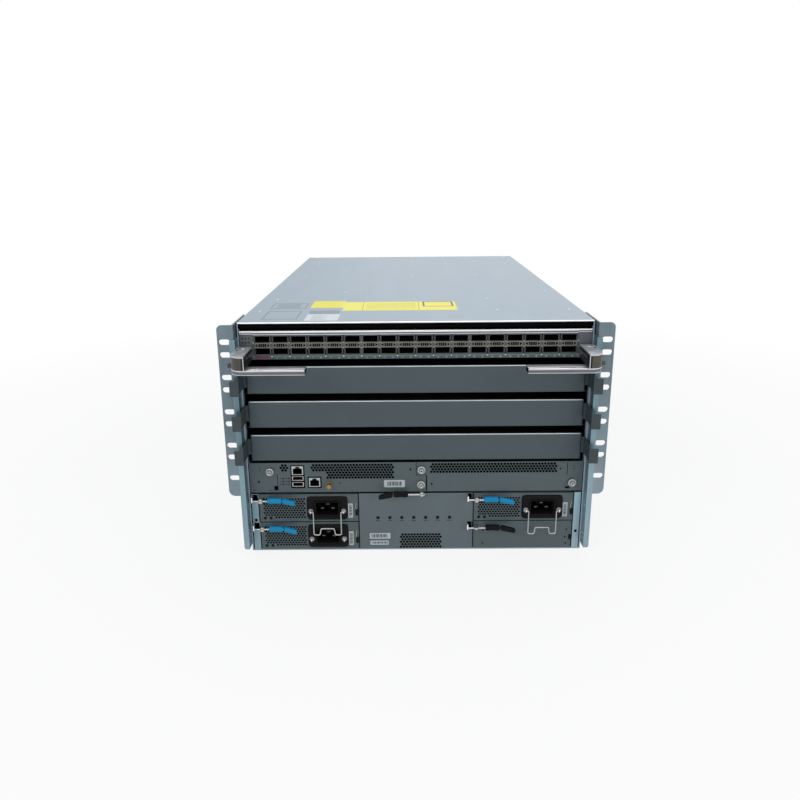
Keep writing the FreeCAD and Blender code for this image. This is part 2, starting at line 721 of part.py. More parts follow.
def build_line_card():
    floor = CARD_FLOOR[SLOT_COUNT - 1]
    cage_foot = "(port_foot - cage_sheet)"
    cage_height = "(2*port_height + port_strip + 2*cage_sheet)"

    face = box("card_face", f"0 - {FACE_HALF}", "0", floor, f"2*{FACE_HALF}", "face_sheet",
               CARD_HEIGHT)
    hem = box("card_hem", f"0 - {FACE_HALF}", "face_sheet", f"{floor} + {CARD_HEIGHT} - face_sheet",
              f"2*{FACE_HALF}", "cap_depth - face_sheet", "face_sheet")
    sill = box("card_sill", f"0 - {FACE_HALF}", "face_sheet", floor, f"2*{FACE_HALF}",
               "cap_depth - face_sheet", "face_sheet")
    windows = []
    gang_width = f"({GANG_COLUMNS}*port_pitch)"
    for gang in range(GANGS):
        windows.append(box("gang_window", f"{gang}*{gang_width} - {FACE_HALF} + 2*cage_sheet",
                           "0 - cut_margin", f"{floor} + {cage_foot}",
                           f"{gang_width} - 4*cage_sheet", "face_sheet + 2*cut_margin", cage_height))
    node(carved("card_front", joined("card_plate", [face, hem, sill]), windows), "line_card_face")

    plates = []
    cage_half = "(port_width/2 + cage_sheet)"
    for column in range(PORT_COLUMNS):
        x = f"({column + 0.5}*port_pitch - {FACE_HALF})"
        for side_x in (f"{x} - {cage_half}", f"{x} + port_width/2"):
            plates.append(box("cage_side", side_x, "0", f"{floor} + {cage_foot}", "cage_sheet",
                              "port_depth", cage_height))
        levels = (
            (cage_foot, "cage_sheet"),
            ("port_foot + port_height", "port_strip"),
            (f"{cage_foot} + {cage_height} - cage_sheet", "cage_sheet"),
        )
        for level, thickness in levels:
            plates.append(box("cage_level", f"{x} - port_width/2", "0", f"{floor} + {level}",
                              "port_width", "port_depth", thickness))
    node(together("cages", plates), "line_card_cages")

    tray_half = f"({INNER} - guide_sheet - 4*bay_gap)"
    wall_top = f"{CARD_HEIGHT} - card_wall_drop"
    corners = [
        (f"0 - {tray_half}", "0"), (tray_half, "0"), (tray_half, wall_top),
        (f"{tray_half} - face_sheet", wall_top), (f"{tray_half} - face_sheet", "face_sheet"),
        (f"face_sheet - {tray_half}", "face_sheet"), (f"face_sheet - {tray_half}", wall_top),
        (f"0 - {tray_half}", wall_top),
    ]
    channel = padded("card_channel", "XZ_Plane", corners, "card_depth - cap_depth")
    place(channel, "0", "cap_depth", floor)
    post_height = f"{cage_foot} - card_board_sheet - face_sheet"
    posts = []
    for side in (-1, 0, 1):
        for y in ("standoff_front", "card_depth - standoff_back"):
            posts.append(prism("card_post", 6, "z", f"{side}*standoff_reach", y,
                               f"{floor} + face_sheet", "standoff_radius", post_height))
    node(joined("card_tray", [channel] + posts), "line_card_tray")
    board = [box("card_board", f"6*face_sheet - {tray_half}", "card_board_setback",
                 f"{floor} + {cage_foot} - card_board_sheet", f"2*{tray_half} - 12*face_sheet",
                 "card_depth - 1.5*card_board_setback", "card_board_sheet")]

    sinks = []
    for sink_index in (-1, 0, 1):
        profile = [("0", "0"), (f"{SINK_FINS - 1}*fin_pitch + fin_sheet", "0")]
        for fin in reversed(range(SINK_FINS)):
            left = f"{fin}*fin_pitch"
            profile += [(f"{left} + fin_sheet", "fin_height"), (left, "fin_height")]
            if fin:
                profile += [(left, "sink_base"), (f"{fin - 1}*fin_pitch + fin_sheet", "sink_base")]
        sink = padded("card_sink", "XZ_Plane", profile, "sink_depth")
        place(sink, f"{sink_index}*sink_pitch - sink_shift", "sink_setback",
              f"{floor} + {cage_foot}")
        sinks.append(sink)
    node(together("sinks", sinks), "line_card_coolers")

    for module in range(FABRIC_COUNT):
        middle = f"({module - (FABRIC_COUNT - 1)/2})*fabric_pitch"
        board.append(box("card_plug", f"{middle} - card_plug_width/2", "card_depth - card_plug_depth",
                         f"{floor} + {cage_foot}", "card_plug_width", "card_plug_depth",
                         "card_plug_height"))
    node(together("card_boards", board), "line_card_board")

    build_ejectors(floor)


LEVER_OUT = "(body_width/2 - 2*swing_gap)"
PIVOT_X = f"({LEVER_OUT} - lever_pivot_inset)"
PIVOT_Y = "(0 - lever_pivot_reach)"


def build_ejectors(floor):
    cap = box("cap_block", f"0 - {FACE_HALF} - end_cap_width", "0", floor, "end_cap_width",
              "cap_depth", CARD_HEIGHT)
    tip = f"{PIVOT_Y} - pivot_tongue_half"
    left = f"0 - {PIVOT_X} - pivot_tongue_half"
    right = f"pivot_tongue_half - {PIVOT_X}"
    cut = "pivot_tongue_corner"
    tongue = padded("cap_tongue", "XY_Plane", [
        (left, "0"), (left, f"{tip} + {cut}"), (f"{left} + {cut}", tip), (f"{right} - {cut}", tip),
        (right, f"{tip} + {cut}"), (right, "0"),
    ], "pivot_tongue_height")
    place(tongue, "0", "0", f"{floor} + pivot_tongue_foot")
    bore = cylinder("cap_bore", "z", f"0 - {PIVOT_X}", PIVOT_Y, floor,
                    "lever_pin_radius + pin_clearance", CARD_HEIGHT)
    left_cap = carved("cap_left", joined("cap_body", [cap, tongue]), [bore])
    node(together("caps", [left_cap, mirrored("cap_right", left_cap)]), "line_card_end_caps")

    front = "(lever_reach + 4*swing_gap)"
    back = "(4*swing_gap)"
    inner = f"({LEVER_OUT} - lever_width)"
    corners = [
        (f"0 - {LEVER_OUT}", f"0 - {front}"), (f"0 - {inner}", f"0 - {front}"),
        (f"0 - {inner}", f"0 - {back} - lever_heel"),
        (f"0 - {inner} - lever_heel_width", f"0 - {back}"),
        (f"0 - {LEVER_OUT}", f"0 - {back}"),
    ]
    head = padded("lever_head", "XY_Plane", corners, "lever_head_height")
    corner = (number(f"0 - {LEVER_OUT}"), number(f"0 - {front}"))
    rounded(head, "lever_nose", "lever_width - lever_end_corner",
            lambda edge: runs_along(edge, 2) and near(edge.CenterOfMass.x, corner[0])
            and near(edge.CenterOfMass.y, corner[1]))
    place(head, "0", "0", f"{floor} + lever_drop")
    gap = box("lever_gap", f"0 - {LEVER_OUT} - cut_margin", f"{PIVOT_Y} - cheek_gap_front",
              f"{floor} + pivot_tongue_foot - swing_gap", "lever_width + 2*cut_margin",
              "lever_reach", "pivot_tongue_height + 2*swing_gap")
    cheeks = carved("lever_cheeks", head, [gap])
    pin = cylinder("lever_pin", "z", f"0 - {PIVOT_X}", PIVOT_Y, f"{floor} + 2*swing_gap",
                   "lever_pin_radius", "lever_head_height")

    arm_corners = [
        (f"0 - {LEVER_OUT}", f"0 - {front}"), (f"lever_arm_length - {LEVER_OUT}", f"0 - {front}"),
        (f"lever_arm_length - {LEVER_OUT}", f"lever_arm_depth - {front}"),
        (f"0 - {LEVER_OUT}", f"lever_arm_depth - {front}"),
    ]
    arm = padded("lever_arm", "XY_Plane", arm_corners, "lever_arm_height")
    rounded(arm, "arm_nose", "lever_width - lever_end_corner",
            lambda edge: runs_along(edge, 2) and near(edge.CenterOfMass.x, corner[0])
            and near(edge.CenterOfMass.y, corner[1]))
    arm_end = number(f"lever_arm_length - {LEVER_OUT}")
    rounded(arm, "arm_end_rounds", "lever_end_corner",
            lambda edge: runs_along(edge, 2) and near(edge.CenterOfMass.x, arm_end))
    place(arm, "0", "0", f"{floor} + lever_drop - lever_arm_height")
    claw = box("lever_claw", f"0 - {LEVER_OUT} - lever_claw_reach", f"{PIVOT_Y} - lever_end_corner",
               f"{floor} - 2*swing_gap", "lever_claw_width", "lever_claw_depth", "lever_claw_height")
    left = joined("ejector", [cheeks, pin, arm, claw])
    node(left, "ejector_left")
    node(mirrored("ejector_mirror", left), "ejector_right")


# ---- slot blanks ----

def build_blanks():
    for slot in range(SLOT_COUNT - 1):
        floor = CARD_FLOOR[slot]
        half = "(body_width/2 - blank_inset)"
        corners = [
            (f"0 - {half}", "0"), (half, "0"), (half, CARD_HEIGHT), (f"0 - {half}", CARD_HEIGHT),
        ]
        pan = padded("blank_pan", "XZ_Plane", corners, "blank_depth")
        rounded(pan, "blank_rounds", "blank_corner",
                lambda edge: near(edge.BoundBox.YMin, 0) and near(edge.BoundBox.YMax, 0))
        place(pan, "0", "0", floor)
        hollow = box("blank_hollow", f"face_sheet - {half}", "face_sheet", f"{floor} + face_sheet",
                     f"2*{half} - 2*face_sheet", "blank_depth", f"{CARD_HEIGHT} - 2*face_sheet")
        shell = carved("blank_shell", pan, [hollow])
        cheek_x = f"({INNER} - 3*bay_gap)"
        tabs = []
        link_y = "2*face_sheet"
        foot = f"{floor} + cheek_foot"
        cheek_height = f"{CARD_HEIGHT} - cheek_drop"
        for side in (-1, 1):
            link_x = half if side > 0 else f"0 - {cheek_x}"
            plate_x = f"{cheek_x} - face_sheet" if side > 0 else f"0 - {cheek_x}"
            face_x = f"{cheek_x} - face_sheet" if side > 0 else f"face_sheet - {cheek_x} - tab_width"
            tabs.append(box("tab_link", link_x, link_y, foot, f"{cheek_x} - {half}", "face_sheet",
                            cheek_height))
            tabs.append(box("tab_cheek", plate_x, "0 - tab_reach", foot, "face_sheet",
                            f"tab_reach + {link_y} + face_sheet", cheek_height))
            tabs.append(box("tab_face", face_x, "0 - tab_reach", f"{floor} + tab_drop", "tab_width",
                            "face_sheet", "tab_height"))
        node(joined("blank", [shell] + tabs), f"slot_blank_{slot + 2}")


# ---- supervisors ----

LEVER_Y = "(0 - handle_reach)"
LEFT_EDGE = f"(0 - {INNER} + 4*bay_gap)"
RIGHT_EDGE = f"({INNER} - 4*bay_gap)"


def supervisor_case(name, face_corners, tray_x, tray_width, depth):
    """A faceplate with its tongue, folded round a low tray."""
    face = padded(name + "_face", "XZ_Plane", face_corners, "face_sheet")
    place(face, "0", "0", SUPERVISOR_FLOOR)
    wall_top = "supervisor_height - supervisor_wall_drop"
    corners = [
        ("0", "0"), (tray_width, "0"), (tray_width, wall_top),
        (f"{tray_width} - face_sheet", wall_top), (f"{tray_width} - face_sheet", "face_sheet"),
        ("face_sheet", "face_sheet"), ("face_sheet", wall_top), ("0", wall_top),
    ]
    tray = padded(name + "_tray", "XZ_Plane", corners, f"{depth} - face_sheet")
    place(tray, tray_x, "face_sheet", SUPERVISOR_FLOOR)
    return joined(name + "_folded", [face, tray])


def captive_screw(name, x, z):
    """A spring-captive screw: its sleeve and its many-sided finger head, along y."""
    sleeve = prism(name + "_sleeve", 8, "y", x, "0 - sleeve_length", z, "0.6*screw_radius",
                   "sleeve_length")
    head = prism(name + "_head", 10, "y", x, "0 - sleeve_length - screw_head", z, "screw_radius",
                 "screw_head")
    return joined(name, [sleeve, head])


def swing_lever(name, x, bar_z, reach, claw_z, claw_tall, grip_start):
    """A flat ejector lever about a pin at x, with its claw to the left and its grip to the right."""
    back = f"({LEVER_Y} + handle_sheet/2)"
    bar = box(name + "_bar", f"{x} - {reach}", f"{back} - handle_sheet", bar_z,
              f"{reach} + {grip_start}", "handle_sheet", "handle_thick")
    claw = box(name + "_claw", f"{x} - {reach}", f"{back} - handle_sheet - claw_lap", claw_z,
               "handle_thick", "2*handle_sheet", claw_tall)
    eye = prism(name + "_eye", 8, "z", x, LEVER_Y, bar_z, "handle_eye", "handle_thick")
    bore = cylinder(name + "_bore", "z", x, LEVER_Y, f"{bar_z} - cut_margin",
                    "handle_pin + pin_clearance", "handle_thick + 2*cut_margin")
    steel = carved(name + "_steel", joined(name + "_strap", [bar, claw, eye]), [bore])
    middle = f"({grip_start} + grip_length/2)"
    corners = [
        (grip_start, "0 - grip_near"), (middle, "0 - grip_near"),
        (f"{grip_start} + grip_length", "0 - grip_tip_near"),
        (f"{grip_start} + grip_length - grip_tip_cut", "0 - grip_tip_far"),
        (f"{middle} - handle_thick", "0 - grip_far"), (grip_start, "0 - grip_far"),
    ]
    grip = padded(name + "_grip", "XY_Plane", corners, "grip_height")
    place(grip, x, "0", f"{bar_z} + handle_thick/2 - grip_height/2")
    return together(name, [steel, grip])


def lever_ears(name, x, bar_z, levels):
    """Small ears and a pin that carry a swinging lever on a module's front."""
    pieces = []
    for level in levels:
        pieces.append(box(name + "_ear", f"{x} - handle_ear", f"{LEVER_Y} - handle_ear", level,
                          "2*handle_ear", f"handle_ear - {LEVER_Y}", "ear_plate"))
    pieces.append(prism(name + "_pin", 8, "z", x, LEVER_Y, f"{bar_z} - swing_gap - ear_plate",
                        "handle_pin", "handle_thick + 2*swing_gap + 2*ear_plate"))
    return pieces


def power_lever(name, x, z, grip_start):
    """A power module's swinging lever, and the ears that carry it."""
    pivot = f"({x} + lever_pivot)"
    bar_z = f"({z} + claw_foot + claw_rise)"
    lever = swing_lever(name + "_handle", pivot, bar_z, "(lever_pivot + claw_reach - claw_gap)",
                        f"{z} + claw_foot", "claw_height", grip_start)
    levels = (f"{bar_z} - swing_gap - ear_plate", f"{bar_z} + handle_thick + swing_gap")
    return lever, lever_ears(name + "_lever", pivot, bar_z, levels)


def slit(name, x, z, width, height):
    """A cutter through a faceplate."""
    return box(name, x, "0 - cut_margin", z, width, "face_sheet + 2*cut_margin", height)


def port_hole(name, x, z, width, height):
    """A faceplate's opening round a jack's shell, with a margin on every side."""
    return slit(name, f"{x} - port_margin", f"{z} - port_margin", f"{width} + 2*port_margin",
                f"{height} + 2*port_margin")


def build_supervisors():
    case = supervisor_case(
        "supervisor",
        [(LEFT_EDGE, "0"), ("split_x + tongue_half", "0"), ("split_x + tongue_half", "tongue_level"),
         ("split_x - tongue_half", "tongue_level"), ("split_x - tongue_half", "supervisor_height"),
         (LEFT_EDGE, "supervisor_height")],
        LEFT_EDGE, f"split_x - tongue_half - {LEFT_EDGE}", "supervisor_depth")
    floor = SUPERVISOR_FLOOR
    stack_x = f"({LEFT_EDGE} + stack_inset)"
    stack_width = "(jack_width + 2)"
    jack_x = f"({LEFT_EDGE} + jack_inset)"
    shell_width = "(jack_width + 1.6)"
    coax_x = f"({LEFT_EDGE} + coax_inset)"
    coax_z = f"{floor} + coax_level"
    port_z = f"{floor} + port_shelf_foot"
    cutters = [
        port_hole("stack_hole", stack_x, port_z, stack_width, "stack_height"),
        port_hole("jack_hole", jack_x, port_z, shell_width, "jack_height + jack_slack"),
        slit("seam", f"{LEFT_EDGE} + seam_inset", f"{floor} + seam_foot", "seam_width", "seam_height"),
        slit("notch", f"{LEFT_EDGE} + seam_inset + notch_lap - notch_width", f"{floor} + seam_foot",
             "notch_width", "notch_height"),
    ]
    carved_case = carved("supervisor_cut", case, cutters)
    pivot = "(split_x + supervisor_pivot_shift)"
    bar_z = f"({SUPERVISOR_SHELF} + bay_gap/2)"
    ears = lever_ears("supervisor_lever", pivot, bar_z, [f"{bar_z} + handle_thick + swing_gap"])
    seats = []
    for x in (f"{LEFT_EDGE} + seat_inset", f"{LEFT_EDGE} + seat_inset + seat_span"):
        for y in ("seat_setback", "supervisor_depth - seat_setback"):
            seats.append(prism("board_seat", 6, "z", x, y, f"{floor} + face_sheet", "seat_radius",
                               "seat_height"))
    node(joined("supervisor_body", [carved_case] + ears + seats), "supervisor_case")
    lever = swing_lever("supervisor_handle", f"(0 - {pivot})", bar_z, "supervisor_lever_reach", bar_z,
                        "handle_thick", "supervisor_grip_start")
    node(mirrored("supervisor_swing", lever), "supervisor_lever")
    board_end = "(split_x - 2*supervisor_board_inset + handle_thick)"
    node(box("supervisor_board", f"{LEFT_EDGE} + supervisor_board_inset", "2*supervisor_board_inset",
             f"{floor} + face_sheet + seat_height",
             f"{board_end} - {LEFT_EDGE} - supervisor_board_inset",
             "supervisor_depth - 2*supervisor_board_inset", "supervisor_board_sheet"),
         "supervisor_board")
    shells = port_shell("stack", stack_x, port_z, stack_width, STACK_SHELVES, "stack_height")
    shells += port_shell("jack", jack_x, port_z, shell_width, JACK_SHELVES, "jack_height")
    coax = joined("coax", [
        prism("coax_nut", 6, "y", coax_x, "0 - coax_nut", coax_z, "coax_nut_radius", "coax_nut"),
        prism("coax_barrel", 12, "y", coax_x, "0 - coax_nut - coax_length", coax_z, "coax_radius",
              "coax_length"),
    ])
    node(together("port_shells", shells + [coax]), "supervisor_ports")
    screws = [captive_screw("captive", f"{LEFT_EDGE} + left_screw_inset", f"{floor} + left_screw_level"),
              captive_screw("captive", "split_x", f"{floor} + split_screw_level")]
    node(together("captives", screws), "supervisor_screws")

    blank = supervisor_case(
        "reserve",
        [("split_x + tongue_half + 2*bay_gap", "0"), (RIGHT_EDGE, "0"),
         (RIGHT_EDGE, "supervisor_height"), ("split_x - tongue_half + 2*bay_gap", "supervisor_height"),
         ("split_x - tongue_half + 2*bay_gap", "tongue_level + 2*bay_gap"),
         ("split_x + tongue_half + 2*bay_gap", "tongue_level + 2*bay_gap")],
        "split_x + tongue_half + 2*bay_gap", f"{RIGHT_EDGE} - split_x - tongue_half - 2*bay_gap",
        "blank_depth + plug_reach")
    cutters = [
        slit("seam", f"{RIGHT_EDGE} - blank_seam_inset", f"{floor} + blank_seam_foot", "seam_width",
             "supervisor_height - blank_seam_drop"),
        slit("notch", f"{RIGHT_EDGE} - blank_notch_inset", f"{floor} + seam_foot",
             "blank_notch_width", "blank_notch_height"),
    ]
    node(carved("reserve_cut", blank, cutters), "supervisor_blank")
    screws = [captive_screw("captive", "split_x + 2*bay_gap", f"{floor} + blank_screw_level"),
              captive_screw("captive", f"{RIGHT_EDGE} - right_screw_inset",
                            f"{floor} + right_screw_level")]
    node(together("reserve_screws", screws), "supervisor_blank_screws")


# each shelf's foot and thickness, from the shell's floor up
STACK_SHELVES = (("0", "1.9"), ("8.1", "2.4"), ("16.2", "2.3"), ("stack_height - 1", "1"))
JACK_SHELVES = (("0", "1.6"), ("jack_height - 1.6", "1.6"))


def port_shell(name, x, z, width, shelves, height):
    """A jack's metal shell: two side walls, its shelves and a back, open to the front."""
    wall = "port_shell_sheet"
    depth = "port_shell_depth"
    plates = [
        box(name + "_side", x, "0", z, wall, depth, height),
        box(name + "_side", f"{x} + {width} - {wall}", "0", z, wall, depth, height),
        box(name + "_back", f"{x} + {wall}", f"{depth} - {wall}", z, f"{width} - 2*{wall}", wall, height),
    ]
    for level, thickness in shelves:
        plates.append(box(name + "_shelf", f"{x} + {wall}", "0", f"{z} + {level}",
                          f"{width} - 2*{wall}", f"{depth} - {wall}", thickness))
    return plates


# ---- power modules ----

BAIL_Y = "(0 - bail_reach)"


def bail_loop(name, x, y, z):
    """A wire bail: two ends in its eyes, two legs and a foot raised in the middle."""
    half = size("bail_span")/2
    drop = size("bail_drop")
    rise = size("bail_foot")
    leg = half - size("bail_eye")
    toe = leg - size("bail_toe")
    top = toe - size("bail_step")
    corners = [
        (-half, 0), (-leg, 0), (-leg, -drop), (-toe, -drop), (-top, rise - drop),
        (top, rise - drop), (toe, -drop), (leg, -drop), (leg, 0), (half, 0),
    ]
    points = [FreeCAD.Vector(u, 0, v) for u, v in corners]
    bend = 1.4*size("bail_wire")
    bent = [points[0]]
    for before, corner, after in zip(points, points[1:], points[2:]):
        if abs((before - corner).normalize().dot((after - corner).normalize())) < 0.01:
            bent.append(corner + (before - corner).normalize()*bend)
            bent.append(corner + (after - corner).normalize()*bend)
        else:
            bent.append(corner)
    bent.append(points[-1])
    path = Part.makePolygon(bent)
    sides = 6
    rim = [FreeCAD.Vector(0, size("bail_wire"), 0)]
    for _ in range(sides):
        rim.append(FreeCAD.Rotation(FreeCAD.Vector(1, 0, 0), 360/sides).multVec(rim[-1]))
    section = Part.makePolygon([points[0] + corner for corner in rim[:-1]] + [points[0] + rim[0]])
    bail = doc.addObject("Part::Feature", name)
    bail.Shape = path.makePipeShell([section], True, False, 1)
    middle = FreeCAD.Vector(number(x), number(y) - size("body_depth")/2, number(z))
    bail.Placement = FreeCAD.Placement(middle, FreeCAD.Rotation())
    return bail


def power_module(label, x, z, has_bail):
    """One power module: case, moulded inlet, swinging lever and, on most, a cord bail."""
    inlet_x = f"({x} + power_width - inlet_inset - inlet_width)"
    inlet_z = f"({z} + (power_height - inlet_height)/2)"
    case = box(label + "_block", x, "0", z, "power_width", "power_depth", "power_height")
    recess = box(label + "_recess", inlet_x, "0 - cut_margin", inlet_z, "inlet_width",
                 "inlet_depth + cut_margin", "inlet_height")
    shaped = carved(label + "_shaped", case, [recess])
    lever, ears = power_lever(label, x, z, "power_grip_start")
    node(joined(label + "_body", [shaped] + ears), label + "_case")
    node(lever, label + "_lever")

    cut_w = "(inlet_width - inlet_corner)"
    cut_h = "(inlet_height - inlet_corner)"
    corners = [
        ("inlet_corner", "0"), (cut_w, "0"), ("inlet_width", "inlet_corner"), ("inlet_width", cut_h),
        (cut_w, "inlet_height"), ("inlet_corner", "inlet_height"), ("0", cut_h),
        ("0", "inlet_corner"),
    ]
    housing = padded(label + "_housing", "XZ_Plane", corners, "inlet_depth + inlet_proud")
    place(housing, inlet_x, "0 - inlet_proud", inlet_z)
    socket_x = f"({inlet_x} + (inlet_width - socket_width)/2)"
    socket_z = f"({inlet_z} + (inlet_height - socket_height)/2)"
    socket = box(label + "_socket", socket_x, "0 - inlet_proud - cut_margin/2", socket_z,
                 "socket_width", "socket_depth + cut_margin/2", "socket_height")
    eye_z = f"({inlet_z} + 0.4*inlet_height)"
    middle = f"({inlet_x} + inlet_width/2)"
    pieces = [carved(label + "_hollow", housing, [socket])]
    pin_y = "(socket_depth - inlet_proud - socket_pin_length)"
    for side, rows in ((-1, 1), (1, 1), (0, 2)):
        pieces.append(box(label + "_pin", f"{middle} + {side}*socket_pin_offset - socket_pin/2", pin_y,
                          f"{socket_z} + {rows}*socket_pin_foot", "socket_pin",
                          "socket_pin_length", "socket_pin_thick"))
    bores = []
    for side in ("-", "+"):
        boss_x = f"{middle} {side} bail_span/2"
        pieces.append(box(label + "_boss", f"{boss_x} - bail_boss/2", f"{BAIL_Y} - bail_boss",
                          f"{eye_z} - bail_boss", "bail_boss", f"boss_root - {BAIL_Y}",
                          "2*bail_boss"))
        bores.append(prism(label + "_eye", 8, "x", f"{boss_x} - 2*bail_boss", BAIL_Y, eye_z,
                           "(bail_wire + pin_clearance)/cos(22.5)", "4*bail_boss"))
    inlet = joined(label + "_inlet_body", pieces)
    node(carved(label + "_inlet_eyes", inlet, bores), label + "_inlet")
    if has_bail:
        node(bail_loop(label + "_wire", middle, BAIL_Y, eye_z), label + "_bail")


def build_power():
    left = f"(0 - {POWER_OUT})"
    power_module("power_1", left, ROW_FLOOR[1], True)
    power_module("power_2", left, ROW_FLOOR[0], False)
    power_module("power_3", POWER_IN, ROW_FLOOR[1], True)

    x = POWER_IN
    z = ROW_FLOOR[0]
    outer = box("reserve_pan", x, "0", z, "power_width", "blank_depth", "power_height")
    inner = box("reserve_hollow", f"{x} + face_sheet", "face_sheet", f"{z} + face_sheet",
                "power_width - 2*face_sheet", "blank_depth", "power_height - 2*face_sheet")
    pan = carved("reserve_shell", outer, [inner])
    lever, ears = power_lever("reserve_power", x, z, "blank_grip_start")
    node(joined("reserve_body", [pan] + ears), "power_blank")
    node(lever, "power_blank_lever")


# ---- rear: frame, fan trays and system controllers ----

TRAY_COUNT = 3
TRAY_PITCH = f"(2*{INNER}/{TRAY_COUNT})"
TRAY_WIDTH = f"({TRAY_PITCH} - tray_gap)"
REAR_SHELF = f"({SUPERVISOR_SHELF} + rear_rise)"
TRAY_FOOT = f"({REAR_SHELF} + shelf_sheet + bay_gap)"
TRAY_HEIGHT = f"({COVER_UNDERSIDE} - rear_clearance - {TRAY_FOOT})"
REAR_CUT = (f"{REAR_Y} - 2*face_sheet", "3*face_sheet")


def controller_x(side):
    """The left edge of the system controller on that side of the middle."""
    return "controller_inset" if side > 0 else "0 - controller_inset - controller_width"


def build_rear():
    frame = box("rear_plate", f"0 - {INNER}", f"{REAR_Y} - face_sheet", "shell_sheet", f"2*{INNER}",
                "face_sheet", f"{COVER_UNDERSIDE} - shell_sheet")
    cutters = []
    for tray in range(TRAY_COUNT):
        x = f"({tray - TRAY_COUNT/2}*{TRAY_PITCH} + tray_gap/2)"
        cutters.append(box("tray_window", f"{x} - bay_gap", REAR_CUT[0], f"{TRAY_FOOT} - bay_gap",
                           f"{TRAY_WIDTH} + 2*bay_gap", REAR_CUT[1], f"{TRAY_HEIGHT} + 2*bay_gap"))
    controller_height = f"({REAR_SHELF} - shell_sheet - 4*bay_gap)"
    for side in (-1, 1):
        x = controller_x(side)
        cutters.append(box("controller_window", f"{x} - bay_gap", REAR_CUT[0],
                           "shell_sheet + bay_gap", "controller_width + 2*bay_gap", REAR_CUT[1],
                           f"{controller_height} + 2*bay_gap"))
    node(carved("rear", frame, cutters), "rear_frame")
    node(box("rear_shelf", f"0 - {INNER}", f"{REAR_Y} - controller_depth", REAR_SHELF, f"2*{INNER}",
             "controller_depth - face_sheet", "shelf_sheet"), "rear_shelf")

    for index, side in enumerate((-1, 1), start=1):
        x = controller_x(side)
        z = "shell_sheet + 2*bay_gap"
        block = box("controller_block", x, f"{REAR_Y} - controller_depth", z, "controller_width",
                    "controller_depth", controller_height)
        hollow = box("controller_hollow", f"{x} + face_sheet",
                     f"{REAR_Y} - controller_depth - cut_margin", f"{z} + face_sheet",
                     "controller_width - 2*face_sheet", "controller_depth", controller_height)
        plate = box("controller_plate", f"{x} - plate_lap", REAR_Y, z,
                    "controller_width + 2*plate_lap", "face_sheet", controller_height)
        pull = pull_handle("controller_pull", f"{x} + controller_width/2", f"{z} + controller_pull_foot",
                           "controller_pull_width")
        tray = carved("controller_tray", block, [hollow])
        node(joined("controller", [tray, plate] + pull), f"system_controller_{index}")

    rotor = build_rotor()
    for tray in range(TRAY_COUNT):
        build_fan_tray(tray, rotor)


def pull_handle(name, middle, z, width):
    """A fixed pull handle standing off the rear face, with room for fingers behind it."""
    x = f"{middle} - {width}/2"
    start = f"({REAR_Y} + face_sheet)"
    reach = "(rear_recess - face_sheet - pull_drop)"
    sides = [
        box(name, x, start, z, "pull_post", reach, "pull_height"),
        box(name, f"{x} + {width} - pull_post", start, z, "pull_post", reach, "pull_height"),
    ]
    bar = box(name, x, f"{start} + {reach} - pull_bar", z, width, "pull_bar", "pull_height")
    return sides + [bar]


FAN_BLADES = 7


def build_rotor():
    """A fan rotor on the y axis: a faceted hub whose pitched blades widen towards their tips."""
    hub = prism("rotor_hub", 2*FAN_BLADES, "y", "0", "body_depth/2", "0", "fan_hub_radius", "fan_depth")
    along_radius = FreeCAD.Rotation(FreeCAD.Vector(0, 0, 1), FreeCAD.Vector(1, 0, 0),
                                    FreeCAD.Vector(0, 1, 0))
    pitched = FreeCAD.Rotation(FreeCAD.Vector(1, 0, 0), size("fan_pitch"))
    wings = []
    for blade in range(FAN_BLADES):
        wing = doc.addObject("Part::Wedge", "rotor_blade")
        wedge = {
            "Xmin": "0 - 0.4*fan_depth", "Xmax": "0.4*fan_depth",
            "X2min": "0 - 0.55*fan_depth", "X2max": "0.55*fan_depth",
            "Ymin": "0.9*fan_hub_radius", "Ymax": "fan_radius - fan_gap",
            "Zmin": "0 - blade_half_sheet", "Zmax": "blade_half_sheet",
            "Z2min": "0 - blade_half_sheet", "Z2max": "blade_half_sheet",
        }
        for name, formula in wedge.items():
            wing.setExpression(name, linked(formula))
        around = FreeCAD.Rotation(FreeCAD.Vector(0, 1, 0), 360*blade/FAN_BLADES)
        wing.Placement = FreeCAD.Placement(FreeCAD.Vector(), around*pitched*along_radius)
        wing.setExpression("Placement.Base.y", linked("fan_depth/2"))
        wings.append(wing)
    return joined("rotor", [hub] + wings)


